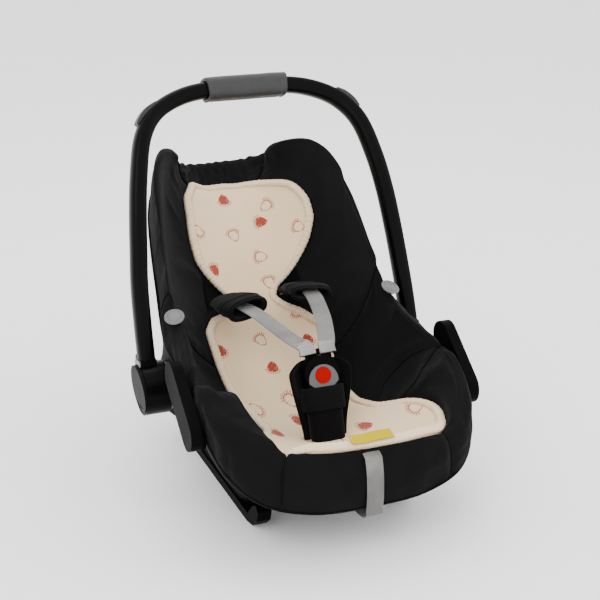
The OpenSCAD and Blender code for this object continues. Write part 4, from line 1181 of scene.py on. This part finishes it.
def cut(obj, cutter):
    """Cuts one mesh out of another for good."""
    modifier = obj.modifiers.new("Cut", "BOOLEAN")
    modifier.operation, modifier.object, modifier.solver = "DIFFERENCE", cutter, "EXACT"
    shown = obj.evaluated_get(bpy.context.evaluated_depsgraph_get())
    mesh = bpy.data.meshes.new_from_object(shown)
    obj.modifiers.clear()
    obj.data = mesh
    bpy.data.objects.remove(cutter)


for _, sign in SIDES:
    flip = np.array([sign, 1, 1])
    pocket = [oval((BUTTON_CENTRE + BUTTON_OUT * h) * flip, BUTTON_ALONG * flip, BUTTON_FORE * flip,
                   23.7, 9.7, 40, 0.35) for h in np.linspace(1.0, 30, 4)]
    cut(bar, tube("pocket", np.array(pocket)[:, ::sign]))
dress(bar, HANDLE, "handle", "handle_plastic", "handle_bar")

grip = [i for i in range(len(whole)) if abs(whole[i, 0]) < 67]
place = np.array([whole[i, 0] for i in grip])
end = 67 - abs(place)
skin = 5.6 + 0.5 * np.exp(-((end - 3.5) / 3.2) ** 2) - 1.0 * np.exp(-((end - 8) / 1.2) ** 2)
skin = skin * ease((end + 1.2) / 1.8) + 0.5
creased = smooth_noise((len(grip), 48), 6, 91) * 0.45
outer = np.array([bar_ring(i, k, ridge=0) + thick[i] * n[:, None] for i, k, n in zip(grip, skin, creased)])
inner = np.array([bar_ring(i, 0.5, ridge=0) for i in grip])
grip_skin = sleeve("handle_grip_wrap", outer, inner)
dress(subdivide(grip_skin), LEATHER, "handle", "grip_leather", "handle_grip")
for name, spot in (("left", -59.0), ("right", 59.0)):
    i = grip[int(abs(place - spot).argmin())]
    for row, shift in enumerate((-1.6, 1.6)):
        ring = bar_ring(i, 5.9, ridge=0) + forward[i] * shift
        half = ring[np.argsort(np.arctan2((ring - whole[i]) @ fore[i], (ring - whole[i]) @ thick[i]))][10:38]
        stitches(f"grip_stitches_{name}_{row}", half, thick[i], "handle", THREAD, 2.6, 1.4, 0.4)

# ---------- carried-over parts
# A name that ends in * stands for its left and right nodes. The number is the edge rounding, in mm.
KEPT = {
    SHELL: {"rocker_skid_*": 2.0, "rear_belt_guide": 1.5, "belt_horn_*": 3.0, "buckle_housing": 2.0,
            "buckle_tongue_*": 0.4, "adjuster_housing": 0.4},
    HANDLE: {"hub_*": 1.8},
    CAP: {"hub_cap_*": 1.6},
    BUTTON: {"handle_button_*": 1.6},
    LIGHT: {"hub_indicator_*": 0.4, "adjuster_lever": 0.4, "lock_plunger_*": 0.4},
    RED: {"buckle_button": 1.2},
    FACE: {"buckle_face": 0.4},
    FOAM: {"foam_liner": None},
    STEEL: {"latch_bar_front": 0.4, "latch_bar_rear": 0.4, "pivot_plate_*": 0.4, "hub_axle_*": 0.4,
            "fixing_screws": 0.4},
}
for material, parts in KEPT.items():
    for part, rounding in parts.items():
        for name in [part.replace("*", side) for side, _ in SIDES] if "*" in part else [part]:
            obj = nodes[name]
            obj.data.materials.clear()
            obj.data.materials.append(material)
            if rounding is None:
                continue
            bevel = obj.modifiers.new("Bevel", "BEVEL")
            bevel.width = rounding * MM
            bevel.segments = 3
            bevel.limit_method = "ANGLE"
            bevel.angle_limit = math.radians(38)
            bevel.harden_normals = True
            obj.data.polygons.foreach_set("use_smooth", [True] * len(obj.data.polygons))


def shortening_spring(node, body, axis):
    """The CAD coil as a steel piece of its own on its body; axis points to its fixed end."""
    place = nodes[node].matrix_world.copy()
    spring = add_object(f"{node}_wound", nodes[node].data.copy())
    spring.matrix_world = place
    dress(spring, STEEL, body, "steel", node)
    axis = unit(np.array(axis, float))
    points = np.array([place @ v.co for v in spring.data.vertices])
    along = points @ axis
    tuple(points[along.argmax()])
    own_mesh(spring)


for side, sign in SIDES:
    shortening_spring(f"lock_spring_{side}", "handle", (sign, 0, 0))
shortening_spring("buckle_spring", "root", (0, 0.939692621, -0.342020143))

# ---------- stage
FLOOR_HALF = 6.0
corners = np.array([(-1, -1, 0), (1, -1, 0), (1, 1, 0), (-1, 1, 0)]) * FLOOR_HALF / MM
floor = add_mesh("floor", corners, [[0, 1, 2, 3]])
look = Shader("floor_pale", 0.7)
tone = look.mix(look.noise(3), [0.87, 0.87, 0.87, 1], [0.9, 0.9, 0.9, 1])
floor.data.materials.append(look.out(tone))

world = bpy.data.worlds.new("studio")
world.use_nodes = True
world.node_tree.nodes["Background"].inputs[0].default_value = (1, 1, 1, 1)
world.node_tree.nodes["Background"].inputs[1].default_value = 2.2
bpy.context.scene.world = world


def aim(obj, place, target):
    obj.location = place
    obj.rotation_euler = (Vector(target) - Vector(place)).to_track_quat("-Z", "Y").to_euler()


def area_light(name, place, target, size, power):
    data = bpy.data.lights.new(name, "AREA")
    data.shape, data.size, data.energy = "DISK", size, power
    aim(add_object(name, data), place, target)


area_light("key", (-1.6, -1.9, 2.4), (0, 0, 0.25), 1.8, 42)
area_light("fill", (2.4, -1.2, 1.6), (0, 0, 0.25), 2.0, 16)
area_light("top", (0.2, 0.9, 2.6), (0, 0.1, 0.3), 1.6, 26)

camera_data = bpy.data.cameras.new("camera")
camera_data.lens, camera_data.sensor_width = 77.9, 36
camera_data.shift_x, camera_data.shift_y = 0.0042, 0.0018
camera = add_object("camera", camera_data)
aim(camera, (-0.6734, -1.7236, 0.9388), (0, -0.058, 0.28))
bpy.context.scene.camera = camera
